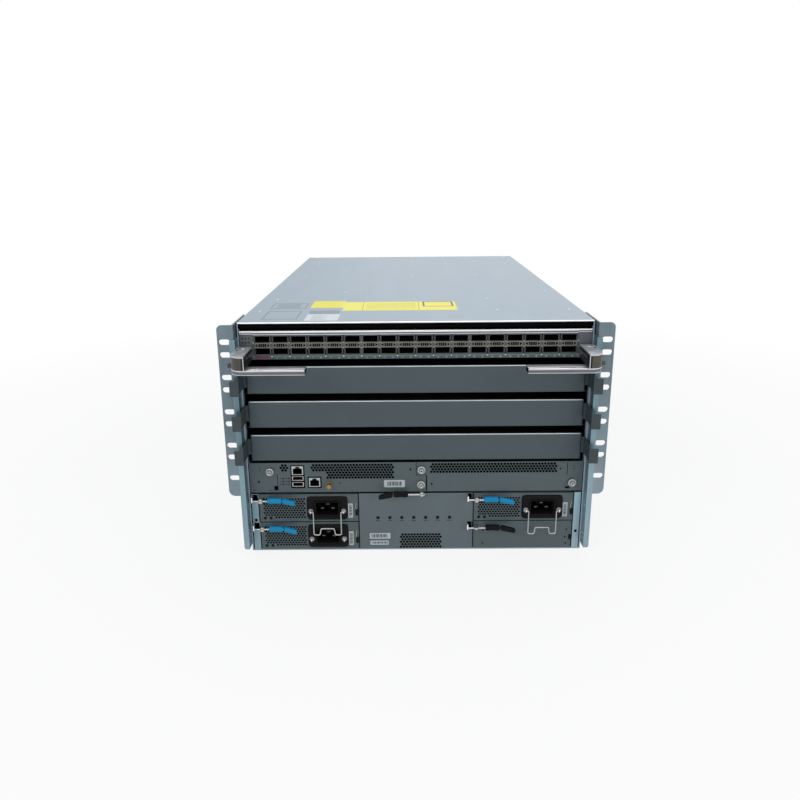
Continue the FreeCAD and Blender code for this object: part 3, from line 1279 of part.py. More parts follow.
def build_fan_tray(tray, rotor):
    x = f"({tray - TRAY_COUNT/2}*{TRAY_PITCH} + tray_gap/2)"
    centre = f"({x} + {TRAY_WIDTH}/2)"
    front = f"({REAR_Y} - tray_depth)"
    wall = "tray_sheet"
    outer = box("tray_outer", x, front, TRAY_FOOT, TRAY_WIDTH, "tray_depth", TRAY_HEIGHT)
    inner = box("tray_inner", f"{x} + {wall}", f"{front} - cut_margin", f"{TRAY_FOOT} + {wall}",
                f"{TRAY_WIDTH} - 2*{wall}", "tray_depth - cut_margin", f"{TRAY_HEIGHT} - 2*{wall}")
    plate = box("tray_plate", f"{x} - plate_lap", REAR_Y, f"{TRAY_FOOT} - bay_gap",
                f"{TRAY_WIDTH} + 2*plate_lap", "face_sheet", f"{TRAY_HEIGHT} + plate_lap")
    axes = [f"({TRAY_FOOT} + {TRAY_HEIGHT}*{share})" for share in (0.27, 0.73)]
    mouth_height = "(2*fan_radius - 4*mouth_inset)"
    cutters = [inner]
    for height in axes:
        cutters.append(box("tray_mouth", f"{centre} - fan_radius + mouth_inset",
                           f"{REAR_Y} - 4*tray_sheet", f"{height} - fan_radius + 2*mouth_inset",
                           "2*(fan_radius - mouth_inset)", "8*tray_sheet", mouth_height))
    case = carved("tray_case", joined("tray_skin", [outer, plate]), cutters)
    braces = []
    for level, height in enumerate(axes):
        motor_y = f"({front} + motor_setback)"
        braces.append(box("motor_seat", f"{centre} - motor_width/2", motor_y,
                          f"{height} - motor_width/2", "motor_width", "motor_depth", "motor_width"))
        braces.append(box("motor_arm", f"{x} + {wall}/2", motor_y, f"{height} - motor_arm_height/2",
                          f"{TRAY_WIDTH} - {wall}", "motor_arm_sheet", "motor_arm_height"))
        for share in (-0.6, -0.2, 0.2, 0.6):
            braces.append(box("guard_bar", f"{centre} + {share}*fan_radius - guard_width/2", REAR_Y,
                              f"{height} - fan_radius + 2*mouth_inset", "guard_width", "face_sheet",
                              mouth_height))
        label = "lower" if level == 0 else "upper"
        rotor_y = f"({motor_y} - fan_depth - bay_gap)"
        fan = together(f"rotor_{tray + 1}_{label}", [rotor])
        place(fan, centre, rotor_y, height)
        node(fan, f"fan_{tray + 1}_{label}")
    grip_z = f"({TRAY_FOOT} + {TRAY_HEIGHT}/2 - pull_height/2)"
    pull = pull_handle("tray_pull", centre, grip_z, "pull_width")
    node(joined("tray_body", [case] + braces + pull), f"fan_tray_{tray + 1}")


# ---- the whole chassis ----

build_shell()
build_ears()
build_partitions()
build_centre_panel()
build_inner_boards()
build_line_card()
build_blanks()
build_supervisors()
build_power()
build_rear()
doc.recompute()

for item in doc.Objects:
    if "Invalid" in item.State or "Error" in item.State:
        raise RuntimeError(f"{item.Label} did not build: {item.State}")
for piece in nodes:
    if piece.Shape.isNull() or not piece.Shape.isValid():
        raise RuntimeError(f"{piece.Label} has no valid shape")
    if not piece.Shape.Solids:
        raise RuntimeError(f"{piece.Label} holds no solid")

os.makedirs("parts", exist_ok=True)
for piece in nodes:
    piece.Shape.exportStep(f"parts/{piece.Label}.step")
print(f"{len(nodes)} sub-parts written")
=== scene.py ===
"""Dresses the frame of a modular chassis switch: sheet metal, vents, ports, levers and finishes.

Lengths are in millimetres while a piece is worked out, and Piece.build() writes metres.
"""

import json
import math

import bmesh
import bpy
import numpy as np
from mathutils import Matrix, Vector

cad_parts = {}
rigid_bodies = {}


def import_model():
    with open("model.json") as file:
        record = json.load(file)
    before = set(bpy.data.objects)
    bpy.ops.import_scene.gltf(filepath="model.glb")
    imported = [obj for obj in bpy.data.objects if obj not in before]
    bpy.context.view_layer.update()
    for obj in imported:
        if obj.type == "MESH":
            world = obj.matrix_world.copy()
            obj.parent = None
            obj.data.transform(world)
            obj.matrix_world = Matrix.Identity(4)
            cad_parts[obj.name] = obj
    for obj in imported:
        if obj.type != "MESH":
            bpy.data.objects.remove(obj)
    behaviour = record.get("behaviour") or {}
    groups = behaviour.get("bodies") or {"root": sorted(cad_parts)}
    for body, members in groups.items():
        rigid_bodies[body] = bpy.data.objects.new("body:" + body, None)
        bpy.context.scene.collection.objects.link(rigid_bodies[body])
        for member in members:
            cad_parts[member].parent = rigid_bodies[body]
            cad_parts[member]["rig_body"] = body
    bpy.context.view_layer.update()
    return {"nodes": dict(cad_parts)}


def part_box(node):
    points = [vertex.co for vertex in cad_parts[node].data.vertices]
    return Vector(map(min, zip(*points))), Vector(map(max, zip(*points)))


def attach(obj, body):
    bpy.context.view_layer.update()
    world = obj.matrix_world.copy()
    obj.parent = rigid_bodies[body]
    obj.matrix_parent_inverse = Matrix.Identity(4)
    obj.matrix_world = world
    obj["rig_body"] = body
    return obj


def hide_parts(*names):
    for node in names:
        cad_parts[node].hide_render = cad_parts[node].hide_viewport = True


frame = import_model()

bl_info = {
    "name": "Modular chassis switch",
    "version": (1, 0, 0),
    "blender": (4, 5, 0),
    "location": "View3D > Sidebar > Switch",
    "description": "Sheet metal, vents, ports and levers around a chassis switch",
    "category": "Object",
}

MM = 0.001


def linear(red, green, blue):
    """The linear value of a colour written in eight-bit steps."""
    steps = np.array([red, green, blue])/255
    return tuple(np.where(steps <= 0.04045, steps/12.92, ((steps + 0.055)/1.055)**2.4).tolist())


def span(node):
    """A CAD node's lowest and highest corners in millimetres."""
    low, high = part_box(node)
    return np.array(low)/MM, np.array(high)/MM


FRONT = span("centre_panel")[0][1]
REAR = span("rear_frame")[1][1]
TOP = span("top_cover")[1][2]
SHEET = 1.2  # thickness of a front panel's sheet
VENT_SHADE_PLATE = (3.6, 4.0)  # a near-black plate behind a vent, painted shade seen through its holes; its depth back from the front
VENT_RISE = 3.5  # between the rows of a supervisor's vent
LEVER_AWAY = 6.8  # a small lever's pin, out from the front
REAR_SKIN = REAR + 1.0  # the outer face of a rear module's panel
PRINT = (-0.12, 0.1)  # a printed dash: proud of its face, and into it


# ---- sizes and colours that a user would change ----

def colour_choice(name, description, red, green, blue):
    return bpy.props.FloatVectorProperty(
        name=name, description=description, subtype="COLOR", size=3, min=0, max=1,
        default=linear(red, green, blue))


def length_choice(name, description, millimetres):
    return bpy.props.FloatProperty(
        name=name, description=description, subtype="DISTANCE", unit="LENGTH", min=0,
        default=millimetres*MM)


class SwitchColours(bpy.types.PropertyGroup):
    """Colours of the switch's finishes"""
    cover: colour_choice("Cover", "Paint of the top cover and shell", 163, 178, 190)
    zinc: colour_choice("Zinc", "Passivated zinc of ears, columns and posts", 112, 132, 140)
    blank: colour_choice("Slot blanks", "Paint of the blank slot panels", 74, 86, 91)
    panel: colour_choice("Panels", "Paint of the supervisor and power panels", 84, 96, 99)
    lamp_panel: colour_choice("Lamp panel", "Paint of the panel between the bays", 96, 108, 112)
    grip: colour_choice("Power grips", "Moulded grips of the power levers", 10, 136, 186)
    strip: colour_choice("Cover strip", "Printed strip on the cover", 248, 238, 40)


class SwitchSizes(bpy.types.PropertyGroup):
    """Sizes of the switch's small work"""
    vent_pitch: length_choice("Vent pitch", "Distance between holes in a vent's row", 4.05)
    vent_flat: length_choice("Vent hole", "Width of a vent hole across its flats", 3.35)
    edge: length_choice("Sheet edge", "Rounding of a folded sheet's edges", 0.35)
    wire: length_choice("Bail wire", "Radius of a bail's wire", 0.9)
    rivet: length_choice("Rivet", "Radius of a rivet head on the cover", 1.3)


# ---- finishes ----

class Signal:
    """An output socket of a finish. Arithmetic on it adds Math nodes."""

    def __init__(self, finish, socket):
        self.finish = finish
        self.socket = socket

    def maths(self, operation, first, second):
        return self.finish.node("ShaderNodeMath", {"operation": operation, "use_clamp": False},
                                {0: first, 1: second})

    def __add__(self, other):
        return self.maths("ADD", self, other)

    __radd__ = __add__

    def __sub__(self, other):
        return self.maths("SUBTRACT", self, other)

    def __mul__(self, other):
        return self.maths("MULTIPLY", self, other)

    __rmul__ = __mul__


class Finish:
    """One procedural material, built up node by node."""

    def __init__(self, name, colour, roughness=0.5, metallic=0.0, **fixed):
        self.material = bpy.data.materials.new(name)
        self.material.use_nodes = True
        self.tree = self.material.node_tree
        self.shader = next(n for n in self.tree.nodes if n.type == "BSDF_PRINCIPLED")
        self.colour = tuple(colour)
        self.fix("Base Color", (*self.colour, 1))
        self.fix("Roughness", roughness)
        self.fix("Metallic", metallic)
        for socket, value in fixed.items():
            self.fix(socket.replace("_", " ").title().replace("Ior", "IOR"), value)
        self.coordinates = self.node("ShaderNodeTexCoord", {}, {}, "Object")

    def fix(self, socket, value):
        """Sets a number or colour that is the same all over."""
        self.shader.inputs[socket].default_value = value

    def node(self, kind, settings, inputs, output=0):
        """Adds a node: its settings first, then the values or links of its sockets."""
        node = self.tree.nodes.new(kind)
        for name, value in settings.items():
            if name == "stops":
                for stop, (position, shade) in zip(self.stops(node, len(value)), value):
                    stop.position = position
                    stop.color = (shade, shade, shade, 1)
            else:
                setattr(node, name, value)
        for name, value in inputs.items():
            if isinstance(value, Signal):
                self.tree.links.new(value.socket, node.inputs[name])
            else:
                node.inputs[name].default_value = value
        return Signal(self, node.outputs[output])

    def stops(self, node, count):
        while len(node.color_ramp.elements) < count:
            node.color_ramp.elements.new(0.5)
        return node.color_ramp.elements

    def feed(self, **sockets):
        """Links what varies over the surface: colour, roughness, metallic or coat."""
        for name, signal in sockets.items():
            self.tree.links.new(signal.socket, self.shader.inputs[name.replace("_", " ").title()])
        return self

    def noise(self, scale, stretch=(1, 1, 1), detail=3.0, rough=0.5):
        """Cloudy noise with this many blobs to the metre, squeezed by stretch along each axis."""
        place = self.node("ShaderNodeMapping", {"vector_type": "POINT"},
                          {"Vector": self.coordinates, "Scale": stretch})
        return self.node("ShaderNodeTexNoise", {}, {
            "Vector": place, "Scale": scale, "Detail": detail, "Roughness": rough})

    def ramp(self, signal, *stops):
        """Reshapes a value through stops of (position, value)."""
        return self.node("ShaderNodeValToRGB", {"stops": stops}, {"Fac": signal})

    def mix(self, amount, first, second):
        """A colour between first and second."""
        first, second = (c if isinstance(c, Signal) else (*c, 1) for c in (first, second))
        return self.node("ShaderNodeMix", {"data_type": "RGBA"},
                         {0: amount, 6: first, 7: second}, 2)

    def bump(self, height, depth):
        """Raises the surface by height times depth in millimetres."""
        normal = self.node("ShaderNodeBump", {}, {
            "Strength": 1.0, "Distance": depth*MM, "Height": height})
        return self.feed(normal=normal)

    def shade(self, factor):
        """The finish's own colour, brighter or darker."""
        return tuple(min(1.0, c*factor) for c in self.colour)


def painted(name, colour, roughness=0.45, grain=700, depth=0.03, streak=(1, 1, 1)):
    """Powder coat: fine orange peel, faint cloudy tone and rubbed patches."""
    f = Finish(name, colour, roughness, metallic=0.15, specular_ior_level=0.4)
    cloud = f.noise(6, streak, 4)
    rubbed = f.ramp(f.noise(38, streak, 5, 0.6), (0.45, 0), (0.75, 1))
    speck = f.noise(grain, detail=2)
    tone = f.mix(cloud, f.shade(0.9), f.shade(1.1))
    tone = f.mix(0.12*rubbed, tone, f.shade(1.35))
    tone = f.mix(0.1*f.ramp(speck, (0.35, 0), (0.65, 1)), tone, f.shade(0.7))
    f.feed(base_color=tone, roughness=roughness - 0.06 + 0.14*cloud)
    return f.bump(speck, depth)


def plated(name, colour, roughness=0.38, tint=(150, 168, 180), dark=0.66):
    """Passivated zinc: drawn streaks, bluish and straw clouds, and dull handling marks."""
    f = Finish(name, colour, roughness, metallic=0.7)
    cloud = f.noise(7, (1, 1, 0.5), 4)
    drawn = f.noise(420, (1, 1, 0.05), 3, 0.6)
    stain = f.ramp(f.noise(16, (1, 1, 0.6), 5, 0.62), (0.48, 0), (0.68, 1))
    tone = f.mix(f.ramp(cloud, (0.35, 0), (0.65, 1)), f.shade(dark), linear(*tint))
    tone = f.mix(0.3*stain, tone, linear(150, 150, 160))
    tone = f.mix(0.3*f.ramp(drawn, (0.4, 0), (0.62, 1)), tone, f.shade(1.25))
    f.feed(base_color=tone, roughness=roughness - 0.05 + 0.2*cloud)
    return f.bump(drawn, 0.02)


def brushed(name, colour, roughness=0.3, streak=(0.03, 1, 1), depth=0.015):
    """Bare metal with fine parallel scratches and faint smears."""
    f = Finish(name, colour, roughness, metallic=0.95)
    lines = f.noise(900, streak, 2, 0.6)
    smear = f.noise(24, (1, 1, 1), 4)
    tone = f.mix(f.ramp(lines, (0.3, 0), (0.7, 1)), f.shade(0.78), f.shade(1.12))
    f.feed(base_color=f.mix(0.3*smear, tone, f.shade(0.8)), roughness=roughness - 0.08 + 0.2*smear)
    return f.bump(lines, depth)


def cast(name, colour):
    """Die-cast metal: blasted grain, a little tarnish and worn high spots."""
    f = Finish(name, colour, 0.42, metallic=0.75)
    grain = f.noise(1300, detail=2)
    patch = f.noise(60, (1, 1, 0.35), 5, 0.65)
    tone = f.mix(f.ramp(patch, (0.35, 0), (0.7, 1)), f.shade(0.72), f.shade(1.15))
    tone = f.mix(0.25*f.ramp(grain, (0.4, 0), (0.6, 1)), tone, f.shade(0.55))
    f.feed(base_color=tone, roughness=0.34 + 0.2*patch)
    return f.bump(grain, 0.05)


def moulded(name, colour, roughness=0.5, depth=0.04, gloss=0.5):
    """Moulded plastic: spark-eroded grain and slightly polished patches."""
    f = Finish(name, colour, roughness, specular_ior_level=gloss)
    grain = f.noise(1600, detail=2)
    rubbed = f.noise(45, detail=3)
    tone = f.mix(rubbed, f.shade(0.85), f.shade(1.18))
    f.feed(base_color=tone, roughness=roughness - 0.12 + 0.24*rubbed)
    return f.bump(grain, depth)


def boarded(name, colour):
    """Circuit board: solder mask over fine tracks, with pale pads."""
    f = Finish(name, colour, 0.35, coat_weight=0.3)
    tracks = f.node("ShaderNodeTexBrick", {"offset": 0.37, "squash": 1.6}, {
        "Vector": f.coordinates, "Scale": 120.0, "Mortar Size": 0.03}, 1)
    pads = f.node("ShaderNodeTexVoronoi", {}, {"Vector": f.coordinates, "Scale": 260.0})
    tone = f.mix(tracks, f.shade(0.8), f.shade(1.8))
    f.feed(base_color=f.mix(f.ramp(pads, (0.1, 1), (0.16, 0)), tone, linear(190, 180, 120)))
    return f.bump(tracks, 0.03)


def printed(name, colour, ink):
    """Printed film: a little mottled, with a faint sheen of wear."""
    f = Finish(name, colour, 0.55, coat_weight=0.15)
    cloud = f.noise(55, detail=4)
    worn = f.ramp(f.noise(320, detail=4, rough=0.7), (0.58, 0), (0.72, 1))
    tone = f.mix(cloud, f.shade(0.94), f.shade(1.04))
    f.feed(base_color=f.mix(0.25*worn, tone, ink), roughness=0.47 + 0.16*cloud)
    return f.bump(cloud, 0.02)


def hollowed(name, colour, fade):
    """Sheet steel with painted shade: its colour runs to near black with depth behind the front
    plane, as the inside of a deep opening lies in shade.
    """
    f = Finish(name, colour, 0.5, metallic=0.4)
    along = f.node("ShaderNodeSeparateXYZ", {}, {0: f.coordinates}, 1)
    depth = f.ramp((along - FRONT*MM)*(1/(fade*MM)), (0.0, 0), (1.0, 1))
    grain = f.noise(600, (1, 0.1, 1), 2)
    tone = f.mix(f.ramp(grain, (0.3, 0), (0.7, 1)), f.shade(0.85), f.shade(1.1))
    # painted shade: the colour is mixed towards near black with depth
    f.feed(base_color=f.mix(depth, tone, linear(6, 6, 7)))
    return f.bump(grain, 0.02)


class Finishes:
    """Every finish of the switch, made once by name."""

    def __init__(self, colours):
        c = colours
        self.cover = painted("cover_paint", c.cover, 0.5, 800, 0.02, (1, 0.12, 1))
        self.shell = painted("shell_paint", c.cover, 0.5, 800, 0.02, (1, 0.2, 1))
        self.blank = painted("blank_paint", c.blank, 0.44, 600, 0.05)
        self.tab = painted("tab_paint", linear(60, 70, 74), 0.44, 600, 0.05)
        self.panel = painted("panel_paint", c.panel, 0.46, 600, 0.04)
        self.case = painted("power_case_paint", c.panel, 0.42, 600, 0.03)
        self.lamp_panel = painted("lamp_panel_paint", c.lamp_panel, 0.44, 600, 0.03)
        self.zinc = plated("zinc_plate", c.zinc)
        self.post = plated("zinc_post", linear(110, 142, 152), 0.32, tint=(156, 184, 194),
                           dark=0.75)
        # a darker, duller copy of the zinc for the trays and case walls inside the chassis:
        # painted shade
        self.inner = plated("inner_zinc", linear(84, 92, 96), 0.5, tint=(116, 126, 132))
        # painted shade: the inner sheets are near black, and these three darken further with depth
        # behind the front
        self.dark = hollowed("deep_sheet", linear(34, 38, 40), 8)
        self.gap = hollowed("blank_return", linear(52, 62, 66), 3)
        self.cage = hollowed("port_cage", linear(96, 98, 94), 2)
        self.steel = brushed("bare_steel", linear(205, 205, 205))
        self.frame = brushed("port_frame", linear(176, 182, 184), 0.34, (1, 1, 1), 0.01)
        self.wire = brushed("drawn_wire", linear(178, 180, 182), 0.3, (1, 1, 0.04))
        self.polish = brushed("arm_metal", linear(226, 218, 222), 0.3, (0.03, 1, 1))
        # lit and shaded copies of one cast metal: the head's front, its inner flank darker as
        # painted shade and its top lighter as painted light; and a darker copy of the arm metal
        # for the arm's front face, painted shade
        self.side = cast("head_metal", linear(88, 85, 80))
        self.flank = cast("head_shaded_flank_metal", linear(48, 46, 44))
        self.crown = cast("head_lit_top_metal", linear(196, 200, 204))
        self.armside = brushed("arm_shaded_face_metal", linear(112, 112, 118), 0.35, (0.03, 1, 1))
        self.trim = brushed("card_trim", linear(206, 208, 214), 0.35, (0.04, 1, 1))
        # painted highlight along each slot blank's top edge
        self.bead = brushed("blank_edge_highlight", linear(208, 214, 216), 0.35, (0.04, 1, 1))
        self.seam = brushed("cage_seam", linear(92, 94, 92), 0.45, (1, 1, 0.1))
        self.cap = painted("end_cap_paint", linear(96, 98, 104), 0.45, 700, 0.04)
        self.strip = painted("card_strip", linear(74, 86, 90), 0.5, 900, 0.03)
        self.pipes = painted("card_middle", linear(126, 126, 116), 0.5, 900, 0.03)
        self.blue = moulded("blue_grip", c.grip, 0.45, gloss=0.3)
        self.black = moulded("black_grip", linear(9, 11, 12), 0.55, gloss=0.12)
        self.inlet = moulded("inlet_plastic", linear(14, 14, 16), 0.55, gloss=0.12)
        # near black: the black plastic of jack bodies and tongues, and painted shade in holes,
        # slots, a groove and behind vents
        self.pit = moulded("dark_hollow", linear(4, 4, 5), 0.9, gloss=0.05)
        self.board = boarded("circuit_board", linear(20, 74, 48))
        self.nut = brushed("nut_metal", linear(136, 138, 138), 0.4, (1, 1, 1), 0.01)
        self.cooler = brushed("cooler_metal", linear(186, 188, 190), 0.4, (1, 0.03, 1))
        self.fan = moulded("fan_plastic", linear(30, 31, 33), 0.4)
        self.lens = moulded("lamp_lens", linear(8, 14, 14), 0.4, 0.005, 0.15)
        self.clear = moulded("status_lens", linear(196, 204, 196), 0.2, 0.005)
        self.gold = brushed("gilt_brass", linear(158, 134, 92), 0.35, (1, 0.1, 1))
        self.contact = brushed("gilt_contact", linear(150, 124, 80), 0.35, (1, 1, 1))
        self.yellow = printed("strip_print", c.strip, linear(190, 172, 50))
        self.white = printed("label_print", linear(224, 232, 238), linear(180, 184, 190))
        self.badge = printed("badge_print", linear(188, 196, 198), linear(150, 156, 160))
        self.grey = printed("grey_print", linear(132, 142, 154), linear(110, 116, 124))
        self.slate = printed("slate_print", linear(84, 94, 104), linear(70, 78, 86))
        self.ink = printed("dark_ink", linear(32, 34, 34), linear(60, 60, 58))
        self.nylon = moulded("screw_collar", linear(206, 210, 210), 0.45)
        # near-white metal for painted highlights along lit edges, beads and ridges; rivets, screw
        # heads, a claw and a pin cap take it too
        self.bright = brushed("bright_edge", linear(248, 249, 250), 0.28, (0.04, 1, 1))
        self.umber = printed("strip_rules", linear(150, 134, 40), linear(120, 110, 40))
        self.maroon = printed("maroon_band", linear(98, 46, 62), linear(70, 40, 50))
        self.leaf = printed("green_band", linear(92, 118, 108), linear(76, 96, 88))
        # painted shade: the socket's metal and the inlet's pins darken with depth behind the front
        self.hollow = hollowed("socket_metal", linear(200, 198, 192), 2.5)
        self.pin = hollowed("inlet_pin", linear(190, 188, 178), 9)


FIN = None


# ---- surfaces ----

# The two axes across each axis, and that axis.
ACROSS = {"x": (1, 2, 0), "y": (0, 2, 1), "z": (0, 1, 2)}


def placed(across, up, along, axis):
    """Points from values across, up and along an axis: x, y, z order follows the axis."""
    order = {"x": (2, 0, 1), "y": (0, 2, 1), "z": (0, 1, 2)}[axis]
    local = np.broadcast_arrays(across, up, along)
    return np.stack([local[i] for i in order], -1).astype(float)


def carried(rings, looped=False):
    """A closed profile carried along a path. rings[i, j] is profile point j at step i; neighbours
    make quads, and the two ends are closed flat unless the path is a loop."""
    steps, around = rings.shape[:2]
    index = np.arange(steps*around).reshape(steps, around)
    rows = np.vstack([index, index[:1]]) if looped else index
    rows = np.hstack([rows, rows[:, :1]])
    quads = np.stack([rows[:-1, :-1], rows[1:, :-1], rows[1:, 1:], rows[:-1, 1:]], -1)
    faces = quads.reshape(-1, 4).tolist()
    if not looped:
        faces += [index[0, ::-1].tolist(), index[-1].tolist()]
    return rings.reshape(-1, 3), faces


def rounded(width, height, radius, steps=4):
    """Outline of a rounded rectangle: each corner's centre plus radius*(cos a, sin a), with a
    running through a quarter turn a corner."""
    radius = min(radius, width/2, height/2)
    quarter = np.linspace(0, np.pi/2, steps + 1)
    angle = (quarter + np.arange(4)[:, None]*np.pi/2).ravel()
    signs = np.repeat([[1, 1], [-1, 1], [-1, -1], [1, -1]], steps + 1, axis=0)
    centres = signs*(np.array([width, height])/2 - radius)
    return centres + radius*np.stack([np.cos(angle), np.sin(angle)], -1)


def stacked(levels, axis="y", steps=4):
    """Rounded rectangles (along, across, up, width, height, radius) carried along an axis."""
    rings = []
    for along, across, up, width, height, radius in levels:
        outline = rounded(width, height, radius, steps)
        rings.append(placed(across + outline[:, 0], up + outline[:, 1], along, axis))
    return carried(np.array(rings))


def slab(low, high, radius=0.6, axis="y", soft=0.0):
    """A plate between two corners, its outline rounded, its two faces drawn in by soft."""
    low, high = np.minimum(low, high), np.maximum(low, high)
    u, v, w = ACROSS[axis]
    middle, extent = (low + high)/2, high - low
    levels = [(low[w], soft), (low[w] + soft, 0), (high[w] - soft, 0), (high[w], soft)]
    if not soft:
        levels = levels[1:3]
    return stacked([(at, middle[u], middle[v], extent[u] - 2*inset, extent[v] - 2*inset,
                     max(radius - inset, 0.02)) for at, inset in levels], axis)


def plate(outline, low, high, axis="z"):
    """A flat outline carried from low to high along an axis."""
    across, up = np.array(outline, float).T
    return carried(np.array([placed(across, up, at, axis) for at in (low, high)]))


def block(low, high):
    """A square-edged block between two corners."""
    (x0, y0, z0), (x1, y1, z1) = low, high
    return plate([(x0, z0), (x1, z0), (x1, z1), (x0, z1)], y0, y1, "y")


def lathed(profile, centre, axis="y", sides=24, ribs=0, rib=0.0):
    """(radius, along) points turned about an axis through centre. Where ribs is given, the outer
    radius ripples by rib*cos(ribs*angle)."""
    angle = np.arange(sides)*2*np.pi/sides
    radius, along = np.array(profile, float).T
    swell = radius[:, None]*(1 + rib*np.cos(ribs*angle)*(radius[:, None] > 0.8*radius.max()))
    u, v, w = ACROSS[axis]
    return carried(placed(centre[u] + swell*np.cos(angle), centre[v] + swell*np.sin(angle),
                          centre[w] + along[:, None], axis))


def filleted(corners, radius, steps):
    """A polyline whose inner corners become curves: (1-t)^2 A + 2t(1-t) B + t^2 C between the
    points A and C that lie radius from corner B; radius may differ from corner to corner."""
    corners = np.array(corners, float)
    t = np.linspace(0, 1, steps)[:, None]
    bends = [corners[:1]]
    radii = np.broadcast_to(radius, len(corners) - 2)
    for before, corner, after, reach in zip(corners, corners[1:], corners[2:], radii):
        start = corner + reach*(before - corner)/np.linalg.norm(before - corner)
        stop = corner + reach*(after - corner)/np.linalg.norm(after - corner)
        bends.append((1 - t)**2*start + 2*t*(1 - t)*corner + t**2*stop)
    return np.vstack(bends + [corners[-1:]])


def tube(path, radius, normal, sides, looped=False):
    """A circle carried along a flat path: path + radius*(cos a * side + sin a * normal), where
    side is square to the path and to the plane's normal."""
    path = np.array(path, float)
    normal = np.array(normal, float)
    ahead = np.roll(path, -1, 0) - np.roll(path, 1, 0) if looped else np.gradient(path, axis=0)
    side = np.cross(ahead, normal)
    side /= np.linalg.norm(side, axis=1)[:, None]
    angle = np.arange(sides)*2*np.pi/sides
    rings = (path[:, None] + radius*(np.cos(angle)[:, None]*side[:, None]
                                     + np.sin(angle)[:, None]*normal))
    return carried(rings, looped)


def vent_sheet(x_range, z_range, front, back, windows=(), field=None):
    """A flat sheet with rectangular windows and one field of staggered six-sided holes.

    The x and z lines of the edges, windows and half pitches make a grid of cells. A cell in a
    window is left out. The two cells around a hole become a ring of six quads, from the cells'
    corners to the hole's corners at flat/sqrt(3) and every 60 degrees. field is (left, foot,
    columns, rows, pitch, rise, flat, first, keep): every other row, from row first, starts half a
    pitch to the right, and keep(x, z) says which holes are there, all of them if it is None.
    """
    xs, zs = list(x_range), list(z_range)
    for left, right, foot, head in windows:
        xs += [left, right]
        zs += [foot, head]
    centres = np.zeros((0, 2))
    if field:
        left, foot, columns, rows, pitch, rise, flat, first, keep = field
        xs += list(left + pitch/2*np.arange(2*columns + 1))
        zs += list(foot + rise*np.arange(rows + 1))
        column, row = [a.ravel() for a in np.meshgrid(np.arange(columns), np.arange(rows))]
        late = (row + first) % 2
        x, z = left + pitch*(column + 0.5 + 0.5*late), foot + rise*(row + 0.5)
        kept = (late == 0) | (column < columns - 1)
        if keep:
            kept &= keep(x, z)
        centres = np.stack([x[kept], z[kept]], -1)
    xs, zs = np.unique(np.round(xs, 3)), np.unique(np.round(zs, 3))
    middle_x, middle_z = (xs[:-1] + xs[1:])/2, (zs[:-1] + zs[1:])/2
    cells = np.ones((len(xs) - 1, len(zs) - 1), bool)
    for left, right, foot, head in windows:
        cells &= ~(((middle_x > left) & (middle_x < right))[:, None]
                   & ((middle_z > foot) & (middle_z < head)))
    kind = cells.astype(int)
    if field:
        column = np.searchsorted(xs, centres[:, 0] - 0.01*pitch)
        row = np.searchsorted(zs, centres[:, 1]) - 1
        kind[column - 1, row] = 2
        kind[column, row] = 2

    grid = np.arange(len(xs)*len(zs)).reshape(len(xs), len(zs))
    layer = grid.size
    flat_points = np.stack(np.meshgrid(xs, zs, indexing="ij"), -1).reshape(-1, 2)
    corners = np.stack([grid[:-1, :-1], grid[1:, :-1], grid[1:, 1:], grid[:-1, 1:]], -1)
    plain = corners[kind == 1]
    faces = [plain, plain[:, ::-1] + layer]
    padded = np.pad(cells, 1)
    for shift, ends in (((-1, 0), (3, 0)), ((1, 0), (1, 2)), ((0, -1), (0, 1)), ((0, 1), (2, 3))):
        beyond = padded[1 + shift[0]:len(xs) + shift[0], 1 + shift[1]:len(zs) + shift[1]]
        rim = corners[cells & ~beyond][:, ends]
        faces.append(np.stack([rim[:, 1], rim[:, 0], rim[:, 0] + layer, rim[:, 1] + layer], -1))
    points = [placed(flat_points[:, 0], flat_points[:, 1], at, "y") for at in (front, back)]
    if field:
        around = np.stack([grid[column - 1, row], grid[column, row], grid[column + 1, row],
                           grid[column + 1, row + 1], grid[column, row + 1],
                           grid[column - 1, row + 1]], -1)
        angle = np.radians([210, 270, 330, 30, 90, 150])
        ring = centres[:, None] + flat/math.sqrt(3)*np.stack([np.cos(angle), np.sin(angle)], -1)
        ring = ring.reshape(-1, 2)
        near = 2*layer + np.arange(len(ring)).reshape(-1, 6)
        far = near + len(ring)
        ahead = np.roll(np.arange(6), -1)
        for quad in ((around, around[:, ahead], near[:, ahead], near),
                     (around[:, ahead] + layer, around + layer, far, far[:, ahead]),
                     (near, near[:, ahead], far[:, ahead], far)):
            faces.append(np.stack(quad, -1).reshape(-1, 4))
        points += [placed(ring[:, 0], ring[:, 1], at, "y") for at in (front, back)]
    return np.vstack(points), np.vstack(faces).tolist()


